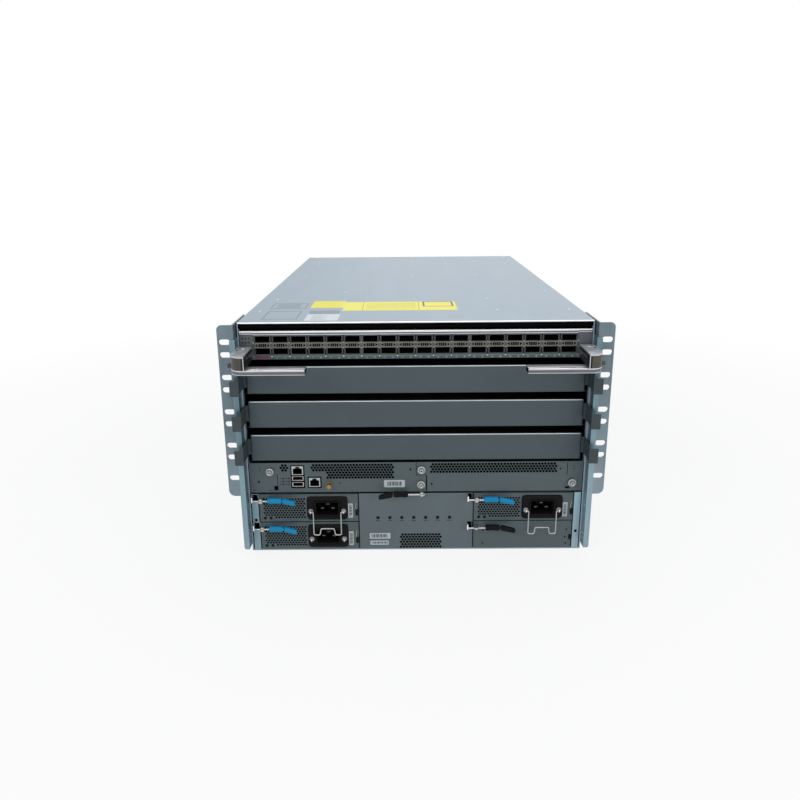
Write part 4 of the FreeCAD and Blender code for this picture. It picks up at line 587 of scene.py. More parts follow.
class Piece:
    """Surfaces gathered into one mesh. Each surface keeps its own finish.

    In the helpers, across, up and depth are (low, high), and depth is counted back from a face.
    """

    def __init__(self, name):
        self.name = name
        self.points, self.faces, self.marks, self.finishes = [], [], [], []
        self.count = 0

    def add(self, surface, finish):
        points, faces = surface
        if finish not in self.finishes:
            self.finishes.append(finish)
        self.points.append(points)
        self.faces += [[corner + self.count for corner in face] for face in faces]
        self.marks += [self.finishes.index(finish)]*len(faces)
        self.count += len(points)

    def pad(self, across, up, depth, radius, finish, soft=0.0, face=FRONT, axis="y"):
        """A rounded plate on a face."""
        low, high = zip(across, (face + depth[0], face + depth[1]), up)
        self.add(slab(low, high, radius, axis, soft), finish)

    def box(self, across, up, depth, finish):
        """A square-edged block behind the front."""
        low, high = zip(across, (FRONT + depth[0], FRONT + depth[1]), up)
        self.add(block(low, high), finish)

    def sheet(self, across, up, finish, windows=(), field=None):
        """A front panel's sheet, with the windows and vent of vent_sheet."""
        self.add(vent_sheet(across, up, FRONT, FRONT + SHEET, windows, field), finish)

    def loft(self, middle, level, rings, steps, finish):
        """Rounded rectangles (depth, width, height, radius) about one axis from front to back."""
        self.add(stacked([(FRONT + depth, middle, level, width, height, radius)
                          for depth, width, height, radius in rings], "y", steps), finish)

    def turned(self, profile, x, z, sides, finish, face=FRONT, ribs=0, rib=0.0):
        """A turned part whose axis runs from front to back."""
        self.add(lathed(profile, (x, face, z), "y", sides, ribs, rib), finish)

    def hole(self, x, z, radius, core, sides=14):
        """A pin hole in the front, drawn as a shallow near-black disc: painted shade."""
        self.turned([(radius, 0.05), (radius, -0.1), (core, -0.12)], x, z, sides, FIN.pit)

    def bars(self, start, step, count, thin, wider, reach, proud, upright=False):
        """A row of print bars, each as wide as thin plus none, one or two times wider. They stand
        side by side across reach, or one above another where upright."""
        for bar in range(count):
            at = start + step*bar
            sides = [(at, at + thin + wider*(bar % 3)), reach]
            across, up = reversed(sides) if upright else sides
            self.pad(across, up, (-proud, 0), 0.1, FIN.ink)

    def build(self, body, replaces=(), smooth=38):
        """Writes the mesh in metres, faces outwards, smooth up to an angle, riding on a body."""
        mesh = bpy.data.meshes.new(self.name)
        mesh.from_pydata((np.vstack(self.points)*MM).tolist(), [], self.faces)
        for finish in self.finishes:
            mesh.materials.append(finish.material)
        mesh.polygons.foreach_set("material_index", self.marks)
        return finished(self.name, mesh, body, replaces, smooth=smooth)


def finished(name, mesh, body, replaces=(), edge=0.0, segments=2, smooth=38):
    """Turns the faces outwards, marks sharp edges, rounds edges if asked and joins the body."""
    work = bmesh.new()
    work.from_mesh(mesh)
    loose = [vertex for vertex in work.verts if not vertex.link_faces]
    bmesh.ops.delete(work, geom=loose, context="VERTS")
    bmesh.ops.recalc_face_normals(work, faces=work.faces)
    work.to_mesh(mesh)
    work.free()
    mesh.polygons.foreach_set("use_smooth", [True]*len(mesh.polygons))
    mesh.set_sharp_from_angle(angle=math.radians(smooth))
    thing = bpy.data.objects.new(name, mesh)
    bpy.context.scene.collection.objects.link(thing)
    if edge:
        rounding = thing.modifiers.new("rounded_edges", "BEVEL")
        rounding.width = edge*MM
        rounding.segments = segments
        rounding.limit_method = "ANGLE"
        rounding.angle_limit = math.radians(40)
        rounding.harden_normals = True
    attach(thing, body)
    if replaces:
        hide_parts(*([replaces] if isinstance(replaces, str) else replaces))
    return thing


def digits(name, entries, size, finish, body):
    """Plain numbers (value, x, z) on a front face, as one thin mesh."""
    gathered = bmesh.new()
    for value, x, z in entries:
        curve = bpy.data.curves.new(name, "FONT")
        curve.body = str(value)
        curve.size = size*MM
        curve.align_x = curve.align_y = "CENTER"
        curve.extrude = 0.06*MM
        curve.resolution_u = 2
        thing = bpy.data.objects.new(name, curve)
        bpy.context.scene.collection.objects.link(thing)
        bpy.context.view_layer.update()
        mesh = bpy.data.meshes.new_from_object(thing)
        upright = Matrix.Rotation(math.pi/2, 4, "X")
        mesh.transform(Matrix.Translation(Vector((x, FRONT - 0.05, z))*MM) @ upright)
        gathered.from_mesh(mesh)
        bpy.data.meshes.remove(mesh)
        bpy.data.objects.remove(thing)
    whole = bpy.data.meshes.new(name)
    gathered.to_mesh(whole)
    gathered.free()
    whole.materials.clear()
    whole.materials.append(finish.material)
    finished(name, whole, body)


def body_of(node):
    return frame["nodes"][node]["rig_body"]


def softened(node, finish, edge=0.35, segments=2, tones=()):
    """A CAD node's shape with its doubles merged, its flat faces joined and its edges rounded.
    tones are (finish, test) pairs for the faces that take another finish."""
    mesh = frame["nodes"][node].data.copy()
    work = bmesh.new()
    work.from_mesh(mesh)
    bmesh.ops.remove_doubles(work, verts=work.verts, dist=1e-6)
    bmesh.ops.dissolve_limit(work, angle_limit=math.radians(0.5), verts=work.verts,
                             edges=work.edges)
    work.to_mesh(mesh)
    work.free()
    mesh.materials.clear()
    mesh.materials.append(finish.material)
    thing = finished(node + "_shape", mesh, body_of(node), node, edge, segments)
    for tone, test in tones:
        tint_faces(thing, tone, test)
    return thing


def tint_faces(thing, finish, test):
    """Gives the faces whose centres in millimetres pass the test another finish."""
    mesh = thing.data
    mesh.materials.append(finish.material)
    centres = np.zeros(3*len(mesh.polygons))
    slots = np.zeros(len(mesh.polygons), int)
    mesh.polygons.foreach_get("center", centres)
    mesh.polygons.foreach_get("material_index", slots)
    slots[test(centres.reshape(-1, 3)/MM)] = len(mesh.materials) - 1
    mesh.polygons.foreach_set("material_index", slots)


# ---- the pieces ----

class SWITCH_OT_frame_finishes(bpy.types.Operator):
    """Gives every node of the frame its finish"""
    bl_idname = "switch.frame_finishes"
    bl_label = "Frame finishes"

    def execute(self, context):
        global FIN
        FIN = Finishes(context.scene.switch_colours)
        chosen = {
            FIN.cover: ["top_cover"],
            FIN.shell: ["chassis_shell"],
            FIN.zinc: ["rack_bracket_left", "rack_bracket_right", "rear_frame", "rear_shelf"],
            FIN.post: ["bay_posts", "front_column_left", "front_column_right"],
            # painted shade: inner sheets take a near-black finish that darkens with depth, and the
            # port cages darken with depth
            FIN.dark: ["card_guides", "slot_shelf", "supervisor_shelf", "bay_partitions",
                       "line_card_tray"],
            FIN.cage: ["line_card_cages"],
            FIN.lamp_panel: ["centre_panel"],
            FIN.panel: ["supervisor_case", "supervisor_blank"],
            FIN.case: ["power_1_case", "power_2_case", "power_3_case", "power_blank"],
            FIN.lens: ["panel_lamps"],
            FIN.board: ["service_board", "fabric_modules", "line_card_board", "supervisor_board"],
            FIN.strip: ["line_card_face", "line_card_end_caps"],
            FIN.cooler: ["line_card_coolers", "fan_tray_1", "fan_tray_2", "fan_tray_3",
                         "system_controller_1", "system_controller_2"],
            FIN.side: ["ejector_left", "ejector_right"],
            FIN.blank: ["slot_blank_2", "slot_blank_3", "slot_blank_4"],
            FIN.gold: ["supervisor_ports"],
            FIN.steel: ["supervisor_screws", "supervisor_blank_screws", "power_1_bail",
                        "power_3_bail"],
            FIN.inlet: ["power_1_inlet", "power_2_inlet", "power_3_inlet"],
            FIN.blue: ["power_1_lever", "power_2_lever", "power_3_lever"],
            FIN.black: ["power_blank_lever", "supervisor_lever"],
            FIN.fan: [f"fan_{tray}_{level}" for tray in (1, 2, 3) for level in ("lower", "upper")],
        }
        for finish, nodes in chosen.items():
            for node in nodes:
                mesh = frame["nodes"][node].data
                mesh.materials.clear()
                mesh.materials.append(finish.material)
        missed = set(frame["nodes"]) - {node for nodes in chosen.values() for node in nodes}
        if missed:
            raise RuntimeError(f"nodes with no finish: {sorted(missed)}")
        return {"FINISHED"}


class SWITCH_OT_sheet_metal(bpy.types.Operator):
    """Rounds the edges of the folded sheets, ears and slot blanks"""
    bl_idname = "switch.sheet_metal"
    bl_label = "Sheet metal"

    def execute(self, context):
        edge = context.scene.switch_sizes.edge/MM
        # painted shade: the cover's front lip below its edge takes the near-black finish
        softened("top_cover", FIN.cover, edge, tones=[
            (FIN.pit, lambda at: (at[:, 1] < FRONT + 0.6) & (at[:, 2] < TOP - 1.5))])
        softened("chassis_shell", FIN.shell, edge)
        for side in ("left", "right"):
            softened(f"front_column_{side}", FIN.post, edge)
            softened(f"rack_bracket_{side}", FIN.zinc, edge)
        for slot in (2, 3, 4):
            node = f"slot_blank_{slot}"
            # painted shade: the blank's walls behind the front darken with depth
            softened(node, FIN.blank, edge, tones=[
                (FIN.gap, lambda at: (at[:, 1] > FRONT + 4) & (np.abs(at[:, 0]) < 214)),
                (FIN.tab, lambda at: (at[:, 1] < FRONT - 4) & (np.abs(at[:, 0]) > 205))])
            (left, _, _), (right, _, head) = span(node)
            # painted highlight: a light strip along the blank's top edge
            bead = Piece(node + "_bead")
            bead.pad((left + 17.4, right - 17.4), (head - 1.2, head + 0.2), (-0.35, 1), 0.5,
                     FIN.bead, axis="x")
            bead.build(body_of(node))
        return {"FINISHED"}


class SWITCH_OT_cover_marks(bpy.types.Operator):
    """Adds the cover's printed strip, labels, ruled print, a hem painted as a highlight along the
    front edge, and rivets
    """
    bl_idname = "switch.cover_marks"
    bl_label = "Cover marks"

    # Rows of rivets: how far behind the front, and the places across.
    RIVETS = ((80, (-205, 109.9, 205)), (176, (-197, 0.9, 106.8)), (243, (-102.7, 202.2)),
              (436, (-190, 0.1, 113.1)), (509, (-123.2, 65.7)), (612, (-184.9, 69.5, 190)),
              (650, (-187.3, -59.7, 2.5, 131.5)), (724, (-200, -70, 70, 200)))

    def execute(self, context):
        film, ink = 0.12, 0.18
        rules = [(at, at + 0.7, 82, 147) for at in (-70, 6)]
        rules += [(-66, 2, 96 + 9*line, 97 + 9*line) for line in range(5)]
        lines = [(-131, -112 - 6*(line % 2), 18 + 7*line, 19.4 + 7*line) for line in range(5)]
        boxes = []
        for left, right, near, far in ((-193, -150, 22, 78), (-195, -148, 100, 140)):
            boxes += [(left, right, near, near + 1), (left, right, far, far + 1),
                      (left, left + 0.8, near, far), (right, right + 0.8, near, far)]
        boxes += [(-188, -156, 108 + 8*line, 109 + 8*line) for line in range(4)]
        for name, finish, height, areas in (
                ("strip", FIN.yellow, film, ((-96, 57.5, 80, 149), (-141, -96.1, 103, 159))),
                ("strip_box", FIN.ink, 0.2, ((12, 54, 146, 148.5), (12, 54, 109, 111),
                                             (12, 14.5, 111, 146), (51.5, 54, 111, 146))),
                ("strip_rules", FIN.umber, ink, rules),
                ("label", FIN.white, film, ((-138.5, -96.5, 11, 55),)),
                ("label_rules", FIN.grey, ink, lines),
                ("band", FIN.grey, film, ((-138, -98.5, 60, 83),)),
                ("print", FIN.slate, film, boxes)):
            self.film("cover_" + name, finish, height, areas)
        low, high = span("top_cover")
        # painted highlight: a near-white rounded strip along the cover's front edge
        hem = Piece("cover_hem_highlight")
        hem.pad((low[0] + 0.6, high[0] - 0.6), (TOP - 1.6, TOP + 0.25), (-0.5, 1.6), 0.8,
                FIN.bright, 0.4, axis="x")
        hem.build("chassis")
        self.rivets(context.scene.switch_sizes.rivet/MM)
        return {"FINISHED"}

    def film(self, name, finish, height, areas):
        """Thin film on the cover: areas of (left, right, near, far), counted from the front."""
        piece = Piece(name)
        for left, right, near, far in areas:
            piece.pad((left, right), (TOP - 0.05, TOP + height), (near, far), 0.4, finish,
                      axis="z")
        piece.build("chassis")

    def rivets(self, radius):
        profile = [(radius, -0.1), (radius, 0.15), (0.7*radius, 0.4), (0.2*radius, 0.48)]
        piece = Piece("cover_rivets")
        for away, places in self.RIVETS:
            for x in places:
                piece.add(lathed(profile, (x, FRONT + away, TOP), "z", 12), FIN.bright)
        piece.build("chassis")


class SWITCH_OT_line_card(bpy.types.Operator):
    """Dresses the line card: rim, seams, port lights, numbers, end caps and ejectors"""
    bl_idname = "switch.line_card"
    bl_label = "Line card"

    COLUMNS = 18
    LIGHTS = 17.9  # the strip of light pipes, above the card's foot
    PIVOT = 211.2  # an ejector's pin, each way from the middle
    ARM, HEAD = 80.5, 9.7  # an ejector's arm and head, inwards from its pivot
    NOSE, NOSE_OUT = 14.3, 7.8  # the radius of an ejector's nose, and its reach past the pivot

    def execute(self, context):
        low, high = span("line_card_face")
        self.left, self.right = low[0], high[0]
        self.foot, self.head = low[2], high[2]
        self.lights = self.foot + self.LIGHTS
        softened("line_card_face", FIN.strip, 0.25)
        softened("line_card_end_caps", FIN.cap, 0.5)
        self.rim()
        self.ports()
        self.numbers()
        for side in ("left", "right"):
            # painted shade: the head's inner faces take the darker copy of its metal
            softened(f"ejector_{side}", FIN.side, 0.7, 3, [
                (FIN.flank, lambda at: np.abs(at[:, 0]) < self.PIVOT - 9.3),
                (FIN.polish, lambda at: at[:, 2] < self.foot + 0.45)])
        self.arms()
        return {"FINISHED"}

    def edge(self, column):
        """How far across a column starts."""
        return self.left + column*(self.right - self.left)/self.COLUMNS

    def rim(self):
        """Three beads along the head, two on each end cap, and the foot's coloured bands; the
        bright and light metal beads are painted highlights along lit edges.
        """
        piece = Piece("card_rim")
        for foot, head, proud, finish in (
                (-2.1, 0.4, 1.1, FIN.bright), (-3.5, -2.2, 0.3, FIN.slate),
                (-4.9, -3.6, 0.6, FIN.trim)):
            piece.pad((self.left, self.right), (self.head + foot, self.head + head), (-proud, 1.5),
                      0.5, finish, axis="x")
        for side in (-1, 1):
            cap = side*(self.right + 8.45)
            for foot, head, finish in ((-1.6, 0.4, FIN.bright), (-3.8, -2.6, FIN.trim)):
                piece.pad((cap - 8.2, cap + 8.2), (self.head + foot, self.head + head), (-0.9, 5),
                          0.5, finish, axis="x")
        band = (-0.15, 0.3)
        piece.pad((self.left + 2, self.left + 19), (self.foot + 0.9, self.foot + 4.6), band, 0.3,
                  FIN.maroon)
        for column in range(1, self.COLUMNS):
            piece.pad((self.edge(column) + 1.8, self.edge(column + 1) - 1.8),
                      (self.foot + 3.4, self.foot + 4.6), band, 0.3, FIN.leaf)
        piece.build("line_card")

    def ports(self):
        """Cage seams with bright tabs, light pipes between triangles, and marks by the rim."""
        seams, pipes, strip = Piece("card_seams"), Piece("card_lights"), self.lights
        for column in range(self.COLUMNS + 1):
            x = self.edge(column)
            for foot, tall in ((strip + 2.9, 0.9), (strip - 3.8, 0.9), (self.foot + 3.2, 1.4)):
                seams.pad((x - 0.9, x + 0.9), (foot, foot + tall), (-0.6, 0.4), 0.3, FIN.trim)
            seams.pad((x - 1.5, x + 1.5), (strip - 2.6, strip + 2.6), (-0.1, 0.4), 0.3, FIN.seam)
            for start in (x - 1.2, x + 0.7):
                for foot in (self.foot + 6.6, strip + 4.2):
                    seams.box((start, start + 0.5), (foot, foot + 7.4), (-0.12, 0.6), FIN.seam)
        half = (self.edge(1) - self.left)/2 - 1.6
        for column in range(self.COLUMNS):
            middle = self.edge(column + 0.5)
            pipes.pad((middle - half, middle + half), (strip - 2.9, strip + 2.9), (-0.12, 0.3),
                      0.2, FIN.pipes)
            for x in (middle - 3.9, middle - 1.3, middle + 1.3, middle + 3.9):
                pipes.pad((x - 1.05, x + 1.05), (strip - 2.1, strip + 2.1), (-0.25, 0.3), 0.4,
                          FIN.pit, 0.1)
            for way in (-1, 1):
                tip, root = middle + way*9.3, middle + way*6.1
                triangle = [(tip, strip), (root, strip - 2.2), (root, strip + 2.2)]
                pipes.add(plate(triangle[::way], FRONT - 0.25, FRONT + 0.3, "y"), FIN.pit)
            for x in (middle - 6.2, middle - 2.1, middle + 2.1, middle + 6.2):
                pipes.pad((x - 1.1, x + 0.6), (self.head - 3.3, self.head - 2.7), (-0.2, 0.2), 0.2,
                          FIN.ink)
        for foot in (self.foot + 20.6, self.foot + 25.8):
            for x in (-213.3, -209.5, -205.6):
                pipes.pad((x - 1.1, x + 1.1), (foot, foot + 2.1), (-0.3, 0.3), 0.6, FIN.ink)
        seams.build("line_card")
        pipes.build("line_card")

    def numbers(self):
        """Plain port numbers below each column but the first, whose band fills the place."""
        entries = []
        for column in range(1, self.COLUMNS):
            for way, number in ((-5, 2*column + 1), (5, 2*column + 2)):
                entries.append((number, self.edge(column + 0.5) + way, self.foot + 1.9))
        digits("card_numbers", entries, 2.2, FIN.white, "line_card")

    def arms(self):
        """Each ejector's polished arm with its beads and slit, and its head's cap and pins; bands
        of painted light and shade on the arm and head stand for how light falls on them.
        """
        for side, body in ((-1, "ejector_left"), (1, "ejector_right")):
            low, high = span(body)
            near, top, crest = low[1], self.foot + 0.4, high[2]
            piece = Piece(body + "_skin")
            arm = self.footprint(side, self.ARM, near, near + 20)
            # painted light and shade on the arm's front: light bands at its top and bottom edges,
            # a darker band between
            for foot, head, finish in ((-5.55, -4.8, FIN.trim), (-4.8, -1.3, FIN.armside),
                                       (-1.3, 0.12, FIN.trim)):
                piece.add(plate(arm, top + foot, top + head), finish)
            # painted highlights: two bright ridges on the arm's top; painted shade: the darker
            # band between them and the near-black slit
            for inner, outer, start, stop, proud, radius, soft, finish in (
                    (131.4, 199, 3.2, 6.4, 0.15, 0.5, 0.0, FIN.armside),
                    (131.4, 199, 0.1, 3.0, 0.5, 0.5, 0.3, FIN.bright),
                    (131.4, 199, 6.6, 9.4, 0.5, 0.5, 0.3, FIN.bright),
                    (167.8, 186.6, 3.4, 6.2, 0.3, 0.4, 0.0, FIN.pit)):
                piece.pad((side*inner, side*outer), (top - 0.3, top + proud), (start, stop),
                          radius, finish, soft, near, "z")
            head = self.footprint(side, self.HEAD, near, FRONT - 5)
            # painted light: the head's top takes the lighter copy of its metal, a light band runs
            # under it along the top edge, and a light strip stands up its inner front corner
            piece.add(plate(head, crest - 1.2, crest + 0.1), FIN.crown)
            piece.add(plate(head, crest - 2.0, crest - 1.2), FIN.trim)
            piece.pad((side*201.5, side*202.6), (top, crest - 1), (-0.2, 0.6), 0.5, FIN.trim,
                      face=near, axis="z")
            # painted shade: a near-black disc stands for the pin hole in the head's top
            piece.add(lathed([(1.8, 0), (1.8, 0.12), (0.6, 0.2)],
                             (side*215.4, FRONT - 24, crest + 0.05), "z", 12), FIN.pit)
            piece.add(lathed([(2.5, 0), (2.5, 0.4), (1.9, 0.7), (0.5, 0.8)],
                             (side*(self.PIVOT - 1), FRONT - 16, crest), "z", 20), FIN.bright)
            piece.build(body)

    def footprint(self, side, inwards, near, far):
        """An ejector's outline from above, 0.3 proud. Its outer nose is a quarter turn:
        (x, y) = centre + radius*(cos a, sin a)."""
        angle = np.linspace(-np.pi/2, 0, 9)
        inner, outer, near = self.PIVOT - inwards, self.PIVOT + self.NOSE_OUT, near - 0.3
        nose = np.stack([outer - self.NOSE + self.NOSE*np.cos(angle),
                         near + self.NOSE + self.NOSE*np.sin(angle)], -1)
        outline = np.vstack([[(inner, near)], nose, [(outer, far), (inner, far)]])
        outline[:, 0] *= side
        return outline[::side]


def captive_screw(piece, x, z):
    """A ribbed collar, a spring's groove and a cross-slotted screw."""
    piece.turned([(5.0, -2.2), (5.0, -3.6), (4.7, -3.9), (4.2, -4.0), (4.2, -2.8), (3.4, -2.8),
                  (3.4, 0)], x, z, 32, FIN.nylon)
    piece.turned([(3.0, 0), (3.0, -6.2), (2.7, -6.8), (2.5, -7.0), (2.2, -6.6), (1.1, -6.4)],
                 x, z, 24, FIN.steel, ribs=12, rib=0.06)
    # painted shade: the cross slot is a near-black block in the screw's head
    for wide, tall in ((1.6, 0.35), (0.35, 1.6)):
        piece.box((x - wide, x + wide), (z - tall, z + tall), (-6.75, -6.3), FIN.pit)


def jack(piece, left, right, foot, head):
    """A network jack: shell with a stepped mouth, black body, eight contacts, two corner lamps."""
    middle, level = (left + right)/2, (foot + head)/2
    step, notch = head - 3.4, head - 1.9
    mouth = [(middle - 5.9, middle + 5.9, foot + 1.0, step),
             (middle - 3.2, middle + 3.2, step, notch),
             (middle - 1.9, middle + 1.9, notch, head - 0.7)]
    piece.add(vent_sheet((left, right), (foot, head), FRONT - 0.3, FRONT + 0.6, mouth), FIN.frame)
    piece.loft(middle, level, [(depth, right - left - inset, head - foot - inset, 0.2)
                               for depth, inset in ((16, 0.0), (0.6, 0.0), (0.6, 1.0), (15, 1.0))],
               1, FIN.pit)
    for contact in range(8):
        x = middle - 3.57 + 1.02*contact
        piece.box((x - 0.22, x + 0.22), (step - 1.2, step - 0.7), (4, 12), FIN.contact)
    for x in (middle - 5.2, middle + 5.2):
        piece.pad((x - 1.3, x + 1.3), (head - 2.5, head - 0.8), (-0.5, 0.2), 0.2, FIN.clear)


def usb(piece, left, right, foot, head):
    """A flat socket: rolled metal mouth that darkens inwards as painted shade, and a dark tongue.
    """
    middle, level = (left + right)/2, (foot + head)/2
    piece.loft(middle, level, (
        (14, 15.0, 6.2, 0.5), (0.0, 15.0, 6.2, 0.5), (-0.3, 14.6, 5.9, 0.5),
        (-0.3, 13.0, 5.2, 0.4), (0.3, 12.6, 4.7, 0.3), (13, 12.6, 4.7, 0.3)), 2, FIN.hollow)
    piece.pad((middle - 5.4, middle + 5.4), (level + 0.2, level + 1.7), (1.4, 12), 0.3, FIN.pit)


class SWITCH_OT_supervisor(bpy.types.Operator):
    """Builds the supervisor's and its blank's vented faces, trays, jacks, screws and lever"""
    bl_idname = "switch.supervisor"
    bl_label = "Supervisors"

    LEVER = 7.7  # the lever's pin
    BLANK_EDGE = 13.7  # the left edge of the blank's lower half
    NUMBER, NUMBER_LEVEL = 8.5, 116.5  # size and height of each slot's plain number

    def execute(self, context):
        sizes = context.scene.switch_sizes
        pitch, flat = sizes.vent_pitch/MM, sizes.vent_flat/MM
        low, high = span("supervisor_case")
        self.left, self.foot, self.head = low[0], low[2] + 3.8, high[2]
        self.face(pitch, flat, high)
        self.blank(pitch, flat)
        softened("supervisor_ports", FIN.pit, 0.2, 1,
                 [(FIN.gold, lambda at: at[:, 0] > self.left + 98)])
        self.sockets()
        self.marks()
        for body, places in (("supervisor", ((self.left + 27, 29.5), (6.7, 10.5))),
                             ("supervisor_blank", ((7.3, 31), (203.4, 12)))):
            screws = Piece(body + "_captives")
            for x, level in places:
                captive_screw(screws, x, self.foot + level)
            screws.build(body, body + "_screws")
        swing_lever("supervisor_lever", FIN.black, self.LEVER, -1,
                    span("supervisor_lever")[0][2] + 3.5, 4.0, 18, None)
        return {"FINISHED"}

    def face(self, pitch, flat, corner):
        """The faceplate in four strips, its low tray behind, and the lever's ear and pin."""
        left, foot, head, right = self.left, self.foot, self.head, corner[0]
        up, top, start = (foot, head), head - 1.5, left + 79.6
        vents = top - 6*VENT_RISE
        face = Piece("supervisor_face")
        face.sheet((left, left + 38), up, FIN.panel, (
            (left + 36, left + 36.8, foot + 3, foot + 25.5),
            (left + 31.4, left + 36, foot + 3, foot + 9)))
        face.sheet((left + 38, left + 53), up, FIN.panel, (), (
            left + 39.4, top - 3*VENT_RISE, 3, 3, pitch, VENT_RISE, flat, 1, None))
        face.sheet((left + 53, left + 73), up, FIN.panel, (
            (left + 53.7, left + 71.9, foot + 5.7, foot + 37.9),))
        face.sheet((left + 73, right), up, FIN.panel, (
            (left + 75.7, left + 93.775, foot + 5.7, vents + VENT_RISE),
            (0.3, right, foot + 23, head)),
            (start, vents, 27, 6, pitch, VENT_RISE, flat, 0,
             lambda x, z: (z > top - 3*VENT_RISE) | (x > start + 5.4*pitch)))
        # painted shade: near-black plates behind the vents
        for across, low in (((start, start + 27.5*pitch), 16), ((left + 38.6, left + 52.5), 26)):
            face.box(across, (foot + low, head - 3.6), VENT_SHADE_PLATE, FIN.pit)
        face.build("supervisor", "supervisor_case")
        tray = Piece("supervisor_tray")
        tray.add(channel(left, 0.3, foot, head - 3, corner[1]), FIN.inner)
        lever_mount(tray, self.LEVER, foot - 2.35, (2.5,), 4.4)
        tray.build("supervisor")

    def blank(self, pitch, flat):
        """The blank's stepped faceplate, its tray, and its small holes."""
        (left, _, foot), (right, far, head) = span("supervisor_blank")
        edge, top = self.BLANK_EDGE, head - 1.3
        face = Piece("supervisor_blank_face")
        face.sheet((left, right), (foot, head), FIN.panel, (
            (left, edge, foot, foot + 23.6), (right - 20.6, right - 19.8, foot + 22, top),
            (right - 22, right - 16, foot + 3, foot + 6)),
            (18.0, top - 4*VENT_RISE, 41, 4, pitch, VENT_RISE, flat, 0, None))
        face.add(channel(edge, right, foot, head - 3, far), FIN.inner)
        # painted shade: a near-black plate behind the vent
        face.box((16, 188), (foot + 23, head - 3.6), VENT_SHADE_PLATE, FIN.pit)
        face.build("supervisor_blank", "supervisor_blank")
        marks = Piece("supervisor_blank_marks")
        marks.hole(20.6, 94.9, 1.3, 0.4)
        marks.hole(187.7, 115.2, 1.2, 0.4)
        # painted shade: a near-black line along the step of the blank's lower half
        marks.box((edge + 0.05, edge + 0.9), (foot + 1, foot + 22), (-0.1, 0.2), FIN.pit)
        marks.build("supervisor_blank")

    def sockets(self):
        """A jack above two flat sockets, a single jack, and a coaxial stub with its pin."""
        piece = Piece("supervisor_sockets")
        shelf, stack, single = self.foot + 6, self.left + 55.3, self.left + 77.3
        jack(piece, stack, stack + 15, shelf + 18.5, shelf + 30.6)
        usb(piece, stack, stack + 15, shelf + 10.5, shelf + 16.2)
        usb(piece, stack, stack + 15, shelf + 1.9, shelf + 8.1)
        jack(piece, single, single + 14.6, shelf + 1.6, shelf + 14.2)
        # the coaxial stub: a gilt barrel, a near-black disc inside it as painted shade, and a gilt
        # pin
        for profile, sides, finish in (
                ([(3.4, -0.1), (3.4, -8.2), (3.1, -9.2), (2.7, -9.2), (2.6, -7.6), (0.4, -7.6)],
                 24, FIN.gold),
                ([(2.55, -7.4), (2.55, -8.7), (0.6, -8.8)], 16, FIN.pit),
                ([(0.6, -8.4), (0.6, -9.1), (0.1, -9.2)], 10, FIN.gold)):
            piece.turned(profile, self.left + 104, self.foot + 11, sides, finish)
        piece.build("supervisor")

    def marks(self):
        """Status lamps with their dashes, pin holes, plain numbers and a ruled label."""
        piece = Piece("supervisor_marks")
        for level in (103.8, 99.8, 95.7):
            for x in (-174.3, -167.0):
                piece.turned([(1.0, 0.1), (1.0, -0.3), (0.6, -0.5), (0.1, -0.55)], x + 1.2, level,
                             12, FIN.lens)
                piece.pad((x - 3.4, x - 0.6), (level - 0.5, level + 0.5), PRINT, 0.2, FIN.ink)
        for x, z, radius in ((-205.2, 99.4, 1.5), (-7.0, 115.5, 1.3), (-98.7, 96.9, 0.9),
                             (-211, 87.8, 0.7), (-191.3, 87.8, 0.7)):
            piece.hole(x, z, radius, 0.3*radius)
        for value, x, body in ((1, -203, "supervisor"), (2, 205, "supervisor_blank")):
            digits(body + "_number", [(value, x, self.NUMBER_LEVEL)], self.NUMBER, FIN.ink, body)
        piece.pad((-41.7, -14.3), (90.7, 100.8), (-0.3, 0.1), 1.6, FIN.badge)
        piece.bars(-37.4, 1.5, 13, 0.55, 0.3, (93.0, 98.8), 0.36)
        piece.build("supervisor")


def channel(left, right, foot, head, far):
    """A folded tray: its U outline carried back from behind the face's sheet."""
    inner_left, inner_right, floor = left + SHEET, right - SHEET, foot + SHEET
    return plate([(left, foot), (right, foot), (right, head), (inner_right, head),
                  (inner_right, floor), (inner_left, floor), (inner_left, head), (left, head)],
                 FRONT + SHEET, far, "y")


def lever_mount(piece, pivot, bar, ears, tip):
    """The ears that hold a lever, at heights from its bar, and the headed pin that it turns on."""
    for level in ears:
        piece.pad((pivot - 2.6, pivot + 2.6), (bar + level, bar + level + 1), (-9.4, 0), 1.2,
                  FIN.steel, axis="z")
    piece.add(lathed([(1.5, -1.5), (1.5, 3.4), (2.1, 3.5), (2.1, 4.0), (1.5, tip)],
                     (pivot, FRONT - LEVER_AWAY, bar), "z", 20), FIN.steel)


